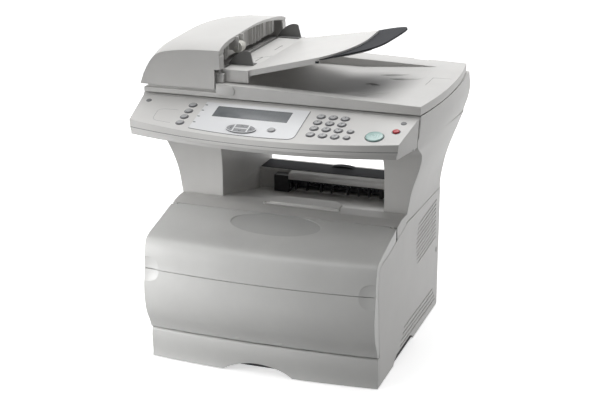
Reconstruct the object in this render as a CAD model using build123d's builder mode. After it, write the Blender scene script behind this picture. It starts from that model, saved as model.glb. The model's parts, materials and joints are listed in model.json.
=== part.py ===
from build123d import *
from math import cos, hypot, radians, sin
import os

os.makedirs("parts", exist_ok=True)

# A laser printer with a flatbed scanner on a stand over it and a sheet feeder on the scanner's lid.
# Millimetres. The origin is on the floor, midway between the sides and between front and back.
# +Z is up and +Y is to the back. A depth is counted from the flat front corners of the base.

# Casing and fits
base_width = 386
base_depth = 373
belly = 37
scanner_overhang = 24
wall = 2.5
edge_gap = 1.2
run_gap = 0.3
pin_gap = 0.05
foot_height = 3
skirt_height = 2

# Heights of the base's seams
tray_top = 53.5
door_bottom = tray_top + 2.5
deck_height = 243
split_height = deck_height - 79.6
split_gap = 0.8
parting_depth = 95.4
parting_height = deck_height - 4.7
side_seam_front = deck_height - 16.5
side_seam_back = deck_height - 22
crease_depth = 128
crease_end = 158
grip_height = 14

# Frame inside the base
frame_half = 168
frame_plate = 3
frame_top = deck_height - 43
floor_plate = 3
deck_plate = 2

# Front door and front cover, as (depth, height, bow): the bow is how far the middle stands in front
door_curve = [
    (-2.8, door_bottom, 7.5), (-9.2, door_bottom + 15, 9.2), (-16.5, door_bottom + 28, 10.5),
    (-22.7, split_height - 58.4, 12), (-24.6, split_height - 41.4, 12.4),
    (-23.6, split_height - 20.4, 12.3), (-21, split_height, 12),
]
cover_curve = [
    (-21, split_height + split_gap, 12), (-18.8, deck_height - 57, 11.5),
    (-15.5, deck_height - 41, 10.3), (-10.5, deck_height - 32, 9.2), (-1, deck_height - 27, 8.2),
    (26, deck_height - 20.4, 6), (58, deck_height - 12.6, 3), (92, parting_height - 0.2, 0),
]
door_axis_depth = -6.2
door_axis_height = door_bottom + 6
door_pin = 1.4
door_ear = 2.4
door_arm = 6.4
door_ear_offset = 40
cover_axis_depth = 92.6
cover_bead = 2.8
cover_pin = 1.5
cover_ear = 2.9
dish_radius = 20
dish_depth = 1.6
dish_offset = 186

# Paper tray and what lies in it
tray_bow = 11
tray_half = 165
tray_floor_height = 9
tray_floor = 2
tray_wall_top = tray_top - 7.5
tray_inner_front = 12.5
tray_back = 352
tray_channel_half = 110
arch_width = 124
arch_height = 17
arch_offset = -5
lift_front = 24
lift_back = 206
lift_axis_depth = 200
lift_axis_height = 14.4
lift_pin = 2
lift_eye = 2.9
lift_low = 13.3
lift_thick = 1.5
guide_depth = 318
guide_half = 30
guide_height = tray_top - 10.5

# Rollers and the print engine
pickup_depth = 50
pickup_height = tray_top + 8.5
pickup_radius = 12
pickup_length = 60
shaft_radius = 4
drum_depth = 148
drum_height = 108
drum_radius = 15
drum_half = 122
cartridge_half = 125
laser_half = 115
laser_tall = 40
laser_clear = 18
fuser_half = 125
fuser_tall = 46
fuser_clear = 8
unit_rail = 4
supply_low = 75
supply_tall = 90
motor_radius = 24

# Output bin in the top cover
bin_left = -120.7
bin_right = 154.7
bin_front = 150
bin_low_depth = 296
bin_low_height = deck_height - 35
laser_low = bin_low_height - laser_clear - laser_tall
fuser_low = laser_low - fuser_clear - fuser_tall
exit_wall_depth = 310
exit_wall = 3
exit_top_height = deck_height + 2
exit_top_back = 361
mouth_left = -60
mouth_right = 110
mouth_low = bin_low_height + 3
mouth_high = deck_height - 5
exit_shaft_depth = 309
exit_shaft_height = bin_low_height + 13
exit_shaft = 2.5
exit_roller = 6
stop_left = -40
stop_right = 82
stop_axis_depth = 128
stop_axis_height = deck_height + 0.6
stop_bead = 2.2
stop_pin = 1.2
stop_length = 44
stop_plate = 1.6
stop_corner = 14
roller_places = [-38, 8, 57, 96]

# Back of the base
door_half = 125
rear_door_low = 64
rear_door_high = deck_height - 45
rear_axis_height = rear_door_low + 2
rear_axis_inset = 3
rear_pin = 1.6
rear_ear = 5
inlet_left = -164
inlet_low = 84
inlet_width = 30
inlet_tall = 22
inlet_deep = 24
inlet_wall = 3
socket_depth = 17
socket_x = 150
socket_low = 84
socket_pitch = 23
socket_tall = 12
socket_widths = [12, 16, 12, 12]
switch_height = 128
switch_inset = 5
switch_width = 14
switch_tall = 20
switch_ear = 4
switch_pin = 1.5
switch_tilt = 6

# Stand and scanner, as (height, front, middle and back half width, forward share, back depth): the
# share says how far the stand's front has swept from its foot towards the seam under the panel
stand_wall = 2.7
stand_left_front = 139
stand_right_front = 150
scanner_top = 427
rise = scanner_top - 30 - deck_height
tower = [
    (side_seam_back - 1, base_width / 2, base_width / 2 + 0.2, base_width / 2, 0, 373),
    (deck_height, 193.6, 194, 193.6, 0, 374),
    (deck_height + 0.175 * rise, 198, 199.5, 198, 0, 376),
    (deck_height + 0.37 * rise, 206, 209.5, 206, 0.01, 379),
    (deck_height + 0.532 * rise, 214.5, 219.5, 215, 0.07, 381.5),
    (deck_height + 0.662 * rise, 220.5, 227, 222, 0.22, 385),
    (deck_height + 0.773 * rise, 226, 233, 227.5, 0.52, 389),
    (deck_height + 0.877 * rise, 230, 237.5, 231, 0.88, 393),
    (deck_height + rise, 233, 241.5, 234, 1, 397),
]
scanner_rows = [
    (scanner_top - 77, 222, 229, 223.5, 58, 386),
    (scanner_top - 49, 230, 237.5, 231, 58, 393),
    (scanner_top - 30, 233, 241.5, 234, 58.8, 397),
    (scanner_top - 15, 232.5, 241.3, 233.5, 69, 397),
    (scanner_top, 230.5, 241, 232, 79, 396),
]
middle_depth = 250
seam_depth = 58
seam_height = scanner_top - 30.5
seam_fall = 0.11
belly_height = scanner_top - 55
belly_back = 290
chin_half = 228
scanner_wall = 3
glass_left = -155
glass_right = 195
glass_front = 112
glass_back = 328
glass_ledge = 4
glass_thick = 4
strip_left = -204
strip_right = -184
carriage_width = 28
carriage_left = -208
rod_depth = 140
rod_height = scanner_top - 24
rod_radius = 4

# Control panel, whose top leans back
panel_tilt = 15.9
panel_front_depth = -2
panel_front_height = scanner_top - 24
panel_front_half = 219
panel_back_half = 229
panel_length = 80
panel_bow = 25
panel_seam = scanner_top - 41
panel_low_half = 217
panel_low_back_half = 233
panel_low_front = -3
panel_low_bow = 31.5
panel_low_back = 49
panel_skin = 3
key_play = 0.3
key_travel = 1.2
plate_left = -115
plate_right = 58
plate_front = -14.5
plate_back = 72
plate_thick = 1.2
plate_proud = 0.3
plate_corner = 12

# Lid and sheet feeder
lid_low = scanner_top + 2
lid_high = lid_low + 22
lid_right_high = lid_high - 9
lid_step = -104
lid_step_height = lid_low + 7.5
lid_front = 76
lid_back = 387
lid_left = -229
lid_axis_depth = 390
lid_axis_height = lid_low + 3
lid_pin = 3
lid_eye = 5
hinge_x = 150
hinge_half = 12
hinge_outer = 17.5
recess_front = 97
recess_back = 340
recess_right = 190
recess_floor = lid_low + 5
feeder_low = lid_step_height + 5
feeder_left = -235.5
feeder_right = -97
feeder_axis = -227
feeder_axis_height = lid_step_height + 10.5
feeder_pin = 1.5
feeder_ear = 2.3
feeder_skin = 2.5
bed_height = lid_high + 19
tray_axis = -99
tray_axis_height = lid_high + 10
tray_pin = 3
slope = 14.3
slope_start = -56
slope_height = lid_high + 21
tray_thick = 3.2
tray_rim = 9
extension_thick = 2.6
guide_thick = 3
guide_front_depth = 129
guide_back_depth = 358
feed_depth = 154
feed_height = slope_height + 24
feed_radius = 9
feeder_top = feed_height + 8

half = base_width / 2
total_depth = belly + base_depth + scanner_overhang
front = belly - total_depth / 2
back = front + base_depth


def at(depth):
    return front + depth


def box_between(x0, x1, y0, y1, z0, z1, mode=Mode.ADD):
    with Locations(((x0 + x1) / 2, (y0 + y1) / 2, (z0 + z1) / 2)):
        Box(x1 - x0, y1 - y0, z1 - z0, mode=mode)


def rod_along_x(x0, x1, y, z, radius, mode=Mode.ADD):
    with Locations(((x0 + x1) / 2, y, z)):
        Cylinder(radius, x1 - x0, rotation=(0, 90, 0), mode=mode)


def rod_along_y(x, y0, y1, z, radius, mode=Mode.ADD):
    with Locations((x, (y0 + y1) / 2, z)):
        Cylinder(radius, y1 - y0, rotation=(90, 0, 0), mode=mode)


def slab(outline, x0, x1):
    # A closed outline of (y, z) points pulled from x0 to x1
    with BuildPart() as piece:
        with BuildSketch(Plane.YZ.offset(x0)):
            with BuildLine():
                Polyline(*outline, close=True)
            make_face()
        extrude(amount=x1 - x0)
    return piece.part


def inset(points, distance):
    # Each point of an open curve moved square to the curve, to its right
    moved = []
    last = len(points) - 1
    for number, (y, z) in enumerate(points):
        before = points[max(number - 1, 0)]
        after = points[min(number + 1, last)]
        run = hypot(after[0] - before[0], after[1] - before[1])
        across_y = (after[1] - before[1]) / run
        across_z = (before[0] - after[0]) / run
        moved.append((y + across_y * distance, z + across_z * distance))
    return moved


def curved_skin(curve, thickness):
    # A skin that follows a side curve and bows forward between the two sides
    with BuildPart() as skin:
        for share in (-1, -0.5, 0, 0.5, 1):
            outer = [(at(depth) - bow * (1 - share ** 2), height) for depth, height, bow in curve]
            inner = inset(outer, thickness)
            with BuildSketch(Plane.YZ.offset(half * share)):
                with BuildLine():
                    Spline(*outer)
                    Line(outer[-1], inner[-1])
                    Spline(*reversed(inner))
                    Line(inner[0], outer[0])
                make_face()
        loft()
    return skin.part


def side_flange(curve, edge):
    # The right cheek that closes a curved skin: from its side curve back to the edge points
    outer = [(at(depth), height) for depth, height, bow in curve]
    inner = [(at(depth), height) for depth, height in edge]
    with BuildPart() as flange:
        with BuildSketch(Plane.YZ.offset(half - wall)):
            with BuildLine():
                Spline(*outer)
                Polyline(outer[-1], *inner, outer[0])
            make_face()
        extrude(amount=wall)
    return flange.part


def seam_at(depth):
    return seam_height - seam_fall * (depth - seam_depth)


def finger_dish():
    # The round dish at each end of the split between door and cover, as one lens-shaped cutter
    ball = (dish_radius ** 2 + dish_depth ** 2) / (2 * dish_depth)
    depth, height, bow = door_curve[-1]
    lower_depth, lower_height = door_curve[-2][:2]
    centre = Vector(dish_offset, at(depth) - bow * (1 - (dish_offset / half) ** 2), height)
    lean = (depth - lower_depth) / (height - lower_height)
    outward = Vector(2 * bow * dish_offset / half ** 2, -1, lean).normalized()
    with BuildPart() as dish:
        with Locations(centre + outward * (ball - dish_depth)):
            Sphere(ball)
        with Locations(Plane(origin=centre, z_dir=outward)):
            Cylinder(dish_radius, 4 * wall, mode=Mode.INTERSECT)
    return dish.part


# Frame inside the base: floor plate, side plates with bearings, deck over the tray, and door ears
with BuildPart() as base_frame:
    floor_low = foot_height
    floor_high = foot_height + floor_plate
    frame_front = at(14)
    frame_back = back - wall
    box_between(-half + wall, half - wall, frame_front, frame_back, floor_low, floor_high)
    for side in (-1, 1):
        x0, x1 = sorted((side * frame_half, side * (frame_half + frame_plate)))
        box_between(x0, x1, frame_front, frame_back, floor_high, frame_top)
        x0, x1 = sorted((side * (frame_half - 26), side * (frame_half - 10)))
        box_between(x0, x1, frame_front, at(tray_back), floor_high, tray_floor_height)
    deck_low = tray_top + 3.5
    box_between(-frame_half, frame_half, at(68), frame_back, deck_low, deck_low + deck_plate)
    box_between(-frame_half - frame_plate, frame_half + frame_plate, at(5), at(14),
                deck_low, deck_low + door_arm)
    box_between(-frame_half, frame_half, at(286), at(290), frame_top - 14, frame_top)
    for side in (-1, 1):
        x0, x1 = sorted((side * frame_half, side * (frame_half + frame_plate)))
        box_between(x0, x1, at(5), frame_front, deck_low, frame_top - 40)
        middle = side * (door_ear_offset + 2.5)
        box_between(middle - 2.5, middle + 2.5, at(door_axis_depth), at(6),
                    deck_low + door_arm - 2.2, deck_low + door_arm)
        rod_along_x(middle - 2.5, middle + 2.5, at(door_axis_depth), door_axis_height, door_ear)
    rod_along_x(-half, half, at(door_axis_depth), door_axis_height, door_pin + pin_gap,
                mode=Mode.SUBTRACT)
    for depth, height in ((pickup_depth, pickup_height), (drum_depth, drum_height)):
        rod_along_x(-half, half, at(depth), height, shaft_radius + pin_gap, mode=Mode.SUBTRACT)
base_frame.part.label = "base_frame"
export_step(base_frame.part, "parts/base_frame.step")

with BuildPart() as feet:
    foot_x = half - 22
    for x in (-foot_x, foot_x):
        for y in (at(34), back - 24):
            with Locations((x, y, foot_height / 2)):
                Cylinder(9, foot_height)
feet.part.label = "feet"
export_step(feet.part, "parts/feet.step")

# Side covers: flat skins whose front edges follow the cheeks of the door and the front cover
side_vent_height = deck_height - 75
cheek_edge = [(3.6, door_bottom), (5, door_axis_height), (-0.8, split_height - 47.4),
              (-5.7, split_height)]
cover_edge = [
    (-5.7, split_height + split_gap), (-3.4, deck_height - 45), (3, deck_height - 38.5),
    (14.6, deck_height - 35.4), (46, deck_height - 33), (88, deck_height - 26.5),
]
side_front = inset([(at(depth), height) for depth, height in cheek_edge + cover_edge], edge_gap)
side_outline = [
    (at(7), skirt_height), (at(7), door_bottom), *side_front[1:],
    (at(crease_depth), side_seam_front - 5), (at(crease_end), side_seam_front),
    (back, side_seam_back), (back, skirt_height),
    (at(210), skirt_height), (at(204), 9), (at(190), grip_height),
    (at(110), grip_height), (at(96), 9), (at(90), skirt_height),
]
side_skin = slab(side_outline, half - wall, half)

with BuildPart() as right_side_cover:
    add(side_skin)
    for number in range(10):
        lean = number - 4.5
        middle = at(282) + 0.35 * lean ** 2
        with Locations((half, middle, side_vent_height + 7.6 * lean)):
            Box(4 * wall, 132 - 2.2 * abs(lean), 2.2, rotation=(3, 0, 0), mode=Mode.SUBTRACT)
    for number in range(4):
        with Locations((half, at(244), 18 + 8.5 * number)):
            Box(4 * wall, 230 - 14 * number, 2.2, rotation=(-1, 0, 0), mode=Mode.SUBTRACT)
    box_between(half - 4 * wall, half + wall, at(353), at(359), 106, 115, mode=Mode.SUBTRACT)
right_side_cover.part.label = "right_side_cover"
export_step(right_side_cover.part, "parts/right_side_cover.step")

with BuildPart() as left_side_cover:
    add(mirror(side_skin, about=Plane.YZ, mode=Mode.PRIVATE))
    for number in range(6):
        with Locations((-half, at(290), 120 + 8.5 * number)):
            Box(4 * wall, 100, 2.2, mode=Mode.SUBTRACT)
left_side_cover.part.label = "left_side_cover"
export_step(left_side_cover.part, "parts/left_side_cover.step")

# Front door, folded down about its lower edge
door_skin = curved_skin(door_curve, wall)
door_cheek = side_flange(door_curve, list(reversed(cheek_edge)))
dish = finger_dish()
with BuildPart() as front_door:
    add(door_skin)
    add(door_cheek)
    add(mirror(door_cheek, about=Plane.YZ, mode=Mode.PRIVATE))
    for side in (-1, 1):
        x0, x1 = sorted((side * (door_ear_offset - 7), side * (door_ear_offset - run_gap)))
        box_between(x0, x1, at(-13), at(door_axis_depth + 2),
                    door_axis_height - door_ear, door_axis_height + door_ear)
        x0, x1 = sorted((side * (door_ear_offset - 7), side * (door_ear_offset + 5)))
        rod_along_x(x0, x1, at(door_axis_depth), door_axis_height, door_pin)
    add(dish, mode=Mode.SUBTRACT)
    add(mirror(dish, about=Plane.YZ, mode=Mode.PRIVATE), mode=Mode.SUBTRACT)
front_door.part.label = "front_door"
export_step(front_door.part, "parts/front_door.step")

# Front cover, which lifts about the bead along its back edge
cover_axis_height = parting_height - cover_bead
cover_skin = curved_skin(cover_curve, wall)
cover_cheek = side_flange(cover_curve, [(91.5, deck_height - 9), *reversed(cover_edge)])

# Shallow oval sunk into the slope of the front cover
oval_depth = 63.5
oval_half_width = 76
oval_half_depth = 32
oval_sink = 0.8
with BuildPart() as oval:
    with BuildSketch(Plane.XY.offset(deck_height - 25)):
        with Locations((0, at(oval_depth))):
            Ellipse(oval_half_width, oval_half_depth)
    extrude(amount=30)
    add(curved_skin(cover_curve, oval_sink), mode=Mode.INTERSECT)

with BuildPart() as front_cover:
    add(cover_skin)
    add(cover_cheek)
    add(mirror(cover_cheek, about=Plane.YZ, mode=Mode.PRIVATE))
    rod_along_x(-half, half, at(cover_axis_depth), cover_axis_height, cover_bead)
    for side in (-1, 1):
        x0, x1 = sorted((side * (half - 11), side * (half + wall)))
        box_between(x0, x1, at(cover_axis_depth - 3.2), at(97), deck_height - 15, deck_height + 2,
                    mode=Mode.SUBTRACT)
    rod_along_x(-half + 5, half - 5, at(cover_axis_depth), cover_axis_height, cover_pin)
    add(dish, mode=Mode.SUBTRACT)
    add(mirror(dish, about=Plane.YZ, mode=Mode.PRIVATE), mode=Mode.SUBTRACT)
    add(oval.part, mode=Mode.SUBTRACT)
front_cover.part.label = "front_cover"
export_step(front_cover.part, "parts/front_cover.step")

# Top cover: the deck, the sunken output bin and the raised exit housing behind it
deck_low = deck_height - wall
deck_outline = [
    (at(parting_depth + 0.4), parting_height), (at(119), deck_height), (back, deck_height),
    (back, side_seam_back + 0.4), (at(crease_end), side_seam_front + 0.4),
    (at(crease_depth), side_seam_front - 4), (at(parting_depth + 0.4), deck_height - 25.4),
]
hollow_outline = [
    (at(parting_depth) - wall, parting_height - wall - 0.4), (at(119) + 0.3, deck_low),
    (back - wall, deck_low), (back - wall, side_seam_back - 20),
    (at(parting_depth) - wall, side_seam_back - 20),
]
trough_outline = [
    (at(bin_front - 6), deck_height - 1), (at(bin_low_depth - 1), bin_low_height - wall - 1),
    (at(exit_wall_depth) + exit_wall, bin_low_height - wall - 1),
    (at(exit_wall_depth) + exit_wall, deck_height - 1),
]
bin_outline = [
    (at(bin_front), deck_height), (at(bin_low_depth), bin_low_height), (at(exit_wall_depth),
                                                                        bin_low_height),
    (at(exit_wall_depth), exit_top_height + 5), (at(bin_front), exit_top_height + 5),
]
exit_outline = [
    (at(exit_wall_depth), deck_height - 2), (at(exit_wall_depth), exit_top_height - 1.5),
    (at(exit_wall_depth) + 2, exit_top_height), (at(exit_top_back), exit_top_height),
    (at(exit_top_back) + 3, deck_height - 2),
]
deck_solid = slab(deck_outline, -half, half)
deck_hollow = slab(hollow_outline, -half + wall, half - wall)
trough = slab(trough_outline, bin_left - wall, bin_right + wall)
bin_space = slab(bin_outline, bin_left, bin_right)
exit_block = slab(exit_outline, bin_left + run_gap, bin_right - run_gap)
with BuildPart() as top_cover:
    add(deck_solid)
    add(deck_hollow, mode=Mode.SUBTRACT)
    add(trough)
    add(bin_space, mode=Mode.SUBTRACT)
    add(exit_block)
    box_between(mouth_left, mouth_right, at(exit_wall_depth) - 5, at(exit_wall_depth) + exit_wall + 2,
                mouth_low, mouth_high, mode=Mode.SUBTRACT)
    box_between(stop_left - 6, stop_right + 6, at(stop_axis_depth - 8), at(bin_front + 2),
                deck_low - 3, deck_low + 1)
    box_between(stop_left - run_gap, stop_right + run_gap, at(stop_axis_depth - 3), at(bin_front + 20),
                stop_axis_height - stop_bead - run_gap, deck_height + 5, mode=Mode.SUBTRACT)
    for x0, x1 in ((stop_left - 4, stop_left - run_gap), (stop_right + run_gap, stop_right + 4)):
        box_between(x0, x1, at(stop_axis_depth - 3), at(stop_axis_depth + 3), deck_low,
                    stop_axis_height + 2.4)
    rod_along_x(stop_left - 3, stop_right + 3, at(stop_axis_depth), stop_axis_height,
                stop_pin + pin_gap,
                mode=Mode.SUBTRACT)
    skirt_x = half - stand_wall - run_gap
    for side, stand_front in ((-1, stand_left_front), (1, stand_right_front)):
        x0, x1 = sorted((side * skirt_x, side * (half + wall)))
        box_between(x0, x1, at(stand_front) - run_gap, back + wall, side_seam_back - 5, deck_height + 5,
                    mode=Mode.SUBTRACT)
        x0, x1 = sorted((side * (skirt_x - wall), side * skirt_x))
        box_between(x0, x1, at(stand_front) - 3, back - wall, side_seam_front, deck_height)
        x0, x1 = sorted((side * (half - 9), side * (half - 5.5)))
        box_between(x0, x1, at(cover_axis_depth), at(104), cover_axis_height - cover_ear, deck_low - 2)
        rod_along_x(x0, x1, at(cover_axis_depth), cover_axis_height, cover_ear)
    rod_along_x(-half, half, at(cover_axis_depth), cover_axis_height, cover_pin + pin_gap,
                mode=Mode.SUBTRACT)
top_cover.part.label = "top_cover"
export_step(top_cover.part, "parts/top_cover.step")

# Paper stop that lies at the front of the bin and flips up about its bead
with BuildPart() as bin_stop:
    rod_along_x(stop_left, stop_right, at(stop_axis_depth), stop_axis_height, stop_bead)
    rod_along_x(stop_left - 3, stop_right + 3, at(stop_axis_depth), stop_axis_height, stop_pin)
    with BuildSketch(Plane.XY.offset(stop_axis_height - stop_plate)):
        with BuildLine():
            Polyline(
                (stop_left, at(stop_axis_depth)), (stop_right, at(stop_axis_depth)),
                (stop_right, at(stop_axis_depth + stop_length - stop_corner)),
                (stop_right - stop_corner, at(stop_axis_depth + stop_length)),
                (stop_left + stop_corner, at(stop_axis_depth + stop_length)),
                (stop_left, at(stop_axis_depth + stop_length - stop_corner)),
                close=True,
            )
        make_face()
    extrude(amount=stop_plate)
bin_stop.part.label = "bin_stop"
export_step(bin_stop.part, "parts/bin_stop.step")

# Exit comb: the dark guide in front of the exit mouth, which carries the exit rollers
comb_front = exit_wall_depth - 14
comb_back = exit_wall_depth - 8
with BuildPart() as exit_comb:
    comb_top = mouth_high - 1.5
    comb_bar = mouth_high - 8.5
    box_between(mouth_left, mouth_right, at(comb_front), at(comb_back), comb_bar, comb_top)
    for x0, x1 in ((mouth_left, mouth_left + 3), (mouth_right - 3, mouth_right)):
        box_between(x0, x1, at(comb_front), at(exit_wall_depth + 6), mouth_low + 2, comb_top)
    box_between(mouth_left - 27, mouth_left, at(exit_wall_depth - 18), at(exit_wall_depth),
                bin_low_height + 1, mouth_high + 1)
    for x in roller_places:
        for side in (-1, 1):
            box_between(x + side * 10 - 1.5, x + side * 10 + 1.5, at(comb_front), at(comb_back),
                        mouth_low + 2.5, comb_bar + 0.5)
    for number in range(22):
        x = mouth_left + 8 + 7.2 * number
        box_between(x - 0.8, x + 0.8, at(comb_front), at(comb_back), comb_bar - 4.5, comb_bar + 0.5)
    rod_along_x(mouth_left - 2, mouth_right + 2, at(exit_shaft_depth), exit_shaft_height,
                exit_shaft + pin_gap,
                mode=Mode.SUBTRACT)
exit_comb.part.label = "exit_comb"
export_step(exit_comb.part, "parts/exit_comb.step")

with BuildPart() as exit_rollers:
    rod_along_x(mouth_left + 0.5, mouth_right - 0.5, at(exit_shaft_depth), exit_shaft_height,
                exit_shaft)
    for x in roller_places:
        rod_along_x(x - 7, x + 7, at(exit_shaft_depth), exit_shaft_height, exit_roller)
exit_rollers.part.label = "exit_rollers"
export_step(exit_rollers.part, "parts/exit_rollers.step")

# Paper tray: bowed front with a finger arch, box, inner channel walls that carry the lift plate
tray_curve = [
    (0, skirt_height, tray_bow), (0, tray_top / 2, tray_bow), (0, tray_top - 6.5, tray_bow),
    (1.2, tray_top - 2.1, tray_bow - 0.4), (5, tray_top, tray_bow - 2),
]
tray_skin = curved_skin(tray_curve, wall)
with BuildPart() as paper_tray:
    add(tray_skin)
    rim_half = half - wall - edge_gap
    box_between(-rim_half, rim_half, at(3.5), at(tray_inner_front), tray_top - wall, tray_top)
    for side in (-1, 1):
        x0, x1 = sorted((side * half, side * (half - wall)))
        box_between(x0, x1, at(1.5), at(6), skirt_height, tray_top)
        x0, x1 = sorted((side * tray_half, side * (tray_half - wall)))
        box_between(x0, x1, at(tray_inner_front), at(tray_back), tray_floor_height, tray_wall_top)
        x0, x1 = sorted((side * tray_channel_half, side * (tray_channel_half + wall)))
        box_between(x0, x1, at(tray_inner_front), at(tray_back), tray_floor_height, tray_wall_top)
        x0, x1 = sorted((side * 60, side * 66))
        box_between(x0, x1, at(lift_front + 4), at(lift_front + 30), tray_floor_height, 13)
    box_between(-tray_half, tray_half, at(tray_inner_front), at(tray_back), tray_floor_height,
                tray_floor_height + tray_floor)
    box_between(-tray_half, tray_half, at(tray_inner_front), at(tray_inner_front) + wall,
                tray_floor_height, tray_top)
    box_between(-tray_half, tray_half, at(tray_back) - wall, at(tray_back),
                tray_floor_height, tray_wall_top)
    with BuildSketch(Plane.XZ.offset(-at(-20))):
        with BuildLine():
            arch_left = (arch_offset - arch_width / 2, 0)
            arch_right = (arch_offset + arch_width / 2, 0)
            arch_top = (arch_offset, skirt_height + arch_height)
            ThreePointArc(arch_left, arch_top, arch_right)
            Line(arch_right, arch_left)
        make_face()
    extrude(amount=-26, mode=Mode.SUBTRACT)
    rod_along_x(-tray_channel_half - wall, tray_channel_half + wall, at(lift_axis_depth),
                lift_axis_height,
                lift_pin + pin_gap, mode=Mode.SUBTRACT)
paper_tray.part.label = "paper_tray"
export_step(paper_tray.part, "parts/paper_tray.step")

with BuildPart() as lift_plate:
    box_between(-tray_channel_half + 5, tray_channel_half - 5, at(lift_front), at(lift_back),
                lift_low, lift_low + lift_thick)
    for side in (-1, 1):
        x0, x1 = sorted((side * (tray_channel_half - 9), side * (tray_channel_half - 5)))
        rod_along_x(x0, x1, at(lift_axis_depth), lift_axis_height, lift_eye)
    rod_along_x(-tray_channel_half - 2, tray_channel_half + 2, at(lift_axis_depth), lift_axis_height,
                lift_pin)
lift_plate.part.label = "lift_plate"
export_step(lift_plate.part, "parts/lift_plate.step")

with BuildPart() as paper_guide:
    guide_low = tray_floor_height + tray_floor
    box_between(-guide_half, guide_half, at(guide_depth - 17), at(guide_depth + 4), guide_low,
                guide_low + wall)
    box_between(-guide_half, guide_half, at(guide_depth), at(guide_depth + 3), guide_low, guide_height)
paper_guide.part.label = "paper_guide"
export_step(paper_guide.part, "parts/paper_guide.step")

# Pick roller over the front of the tray
with BuildPart() as pickup_roller:
    reach = frame_half + frame_plate - 0.5
    rod_along_x(-reach, reach, at(pickup_depth), pickup_height, shaft_radius)
    rod_along_x(-pickup_length / 2, pickup_length / 2, at(pickup_depth), pickup_height, pickup_radius)
pickup_roller.part.label = "pickup_roller"
export_step(pickup_roller.part, "parts/pickup_roller.step")

with BuildPart() as photo_drum:
    rod_along_x(-reach, reach, at(drum_depth), drum_height, shaft_radius)
    rod_along_x(-drum_half, drum_half, at(drum_depth), drum_height, drum_radius)
photo_drum.part.label = "photo_drum"
export_step(photo_drum.part, "parts/photo_drum.step")

cartridge_outline = [
    (at(30), 112), (at(42), 97), (at(130), 92), (at(150), 126),
    (at(128), 168), (at(46), 172), (at(30), 154),
]
cartridge_body = slab(cartridge_outline, -cartridge_half, cartridge_half)
with BuildPart() as toner_cartridge:
    add(cartridge_body)
    fillet(toner_cartridge.edges().filter_by(Axis.X), 5)
    rod_along_x(-cartridge_half - 1, cartridge_half + 1, at(drum_depth), drum_height, drum_radius + 1,
                mode=Mode.SUBTRACT)
    rod_along_x(-frame_half, frame_half, at(88), 132, 6)
    box_between(-35, 35, at(13), at(34), 136, 141)
    box_between(-35, 35, at(13), at(17), 128, 141)
toner_cartridge.part.label = "toner_cartridge"
export_step(toner_cartridge.part, "parts/toner_cartridge.step")

# Print engine, as four separate units: laser box, fuser, main motor and power supply
with BuildPart() as engine_units:
    box_between(-laser_half, laser_half, at(168), at(284), laser_low, laser_low + laser_tall)
    box_between(-frame_half, frame_half, at(180), at(196), laser_low, laser_low + unit_rail)
    box_between(-fuser_half, fuser_half, at(262), at(334), fuser_low, fuser_low + fuser_tall)
    box_between(-frame_half, frame_half, at(290), at(306), fuser_low, fuser_low + unit_rail)
    motor_x = frame_half + frame_plate
    rod_along_x(motor_x, half - wall - 3, at(205), 105, motor_radius)
    box_between(-half + wall + 3, -motor_x, at(225), at(335), supply_low, supply_low + supply_tall)
engine_units.part.label = "engine_units"
export_step(engine_units.part, "parts/engine_units.step")

# Rear cover with the power inlet, four sockets and the ears of the rear door
opening_half = door_half + 2
with BuildPart() as rear_cover:
    box_between(-half + wall, half - wall, back - wall, back, foot_height, side_seam_back)
    box_between(-opening_half, opening_half, back - 2 * wall, back + 1, rear_door_low - 3,
                rear_door_high + 1.5,
                mode=Mode.SUBTRACT)
    for side in (-1, 1):
        x0, x1 = sorted((side * opening_half, side * (opening_half + 4)))
        box_between(x0, x1, back - 8, back - wall, rear_axis_height - rear_ear,
                    rear_axis_height + rear_ear)
    rod_along_x(-opening_half - 4, opening_half + 4, back - rear_axis_inset, rear_axis_height,
                rear_pin + pin_gap, mode=Mode.SUBTRACT)
    inlet_right = inlet_left + inlet_width
    inlet_top = inlet_low + inlet_tall
    inlet_x = (inlet_left + inlet_right) / 2
    box_between(inlet_left, inlet_right, back - inlet_deep, back - wall, inlet_low, inlet_top)
    box_between(inlet_left + inlet_wall, inlet_right - inlet_wall, back - socket_depth, back + 1,
                inlet_low + inlet_wall, inlet_top - inlet_wall, mode=Mode.SUBTRACT)
    for x, z in ((-7, 1.5), (7, 1.5), (0, -2.5)):
        box_between(inlet_x + x - 1, inlet_x + x + 1, back - socket_depth - 1, back - 4,
                    inlet_low + inlet_tall / 2 + z - 1.6, inlet_low + inlet_tall / 2 + z + 1.6)
    switch_x0 = inlet_x - switch_width / 2
    switch_x1 = inlet_x + switch_width / 2
    box_between(switch_x0, switch_x1, back - 14, back + 1,
                switch_height - switch_tall / 2, switch_height + switch_tall / 2, mode=Mode.SUBTRACT)
    for x0, x1 in ((switch_x0 - switch_ear, switch_x0), (switch_x1, switch_x1 + switch_ear)):
        box_between(x0, x1, back - 9, back - wall, switch_height - 5, switch_height + 5)
    rod_along_x(switch_x0 - switch_ear, switch_x1 + switch_ear, back - switch_inset, switch_height,
                switch_pin + pin_gap, mode=Mode.SUBTRACT)
    box_between(socket_x - 12, socket_x + 12, back - 12, back - wall, socket_low - 6, socket_low + 94)
    for number, socket_width in enumerate(socket_widths):
        low = socket_low + socket_pitch * number
        box_between(socket_x - socket_width / 2, socket_x + socket_width / 2, back - 10, back + 1,
                    low, low + socket_tall, mode=Mode.SUBTRACT)
rear_cover.part.label = "rear_cover"
export_step(rear_cover.part, "parts/rear_cover.step")

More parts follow.
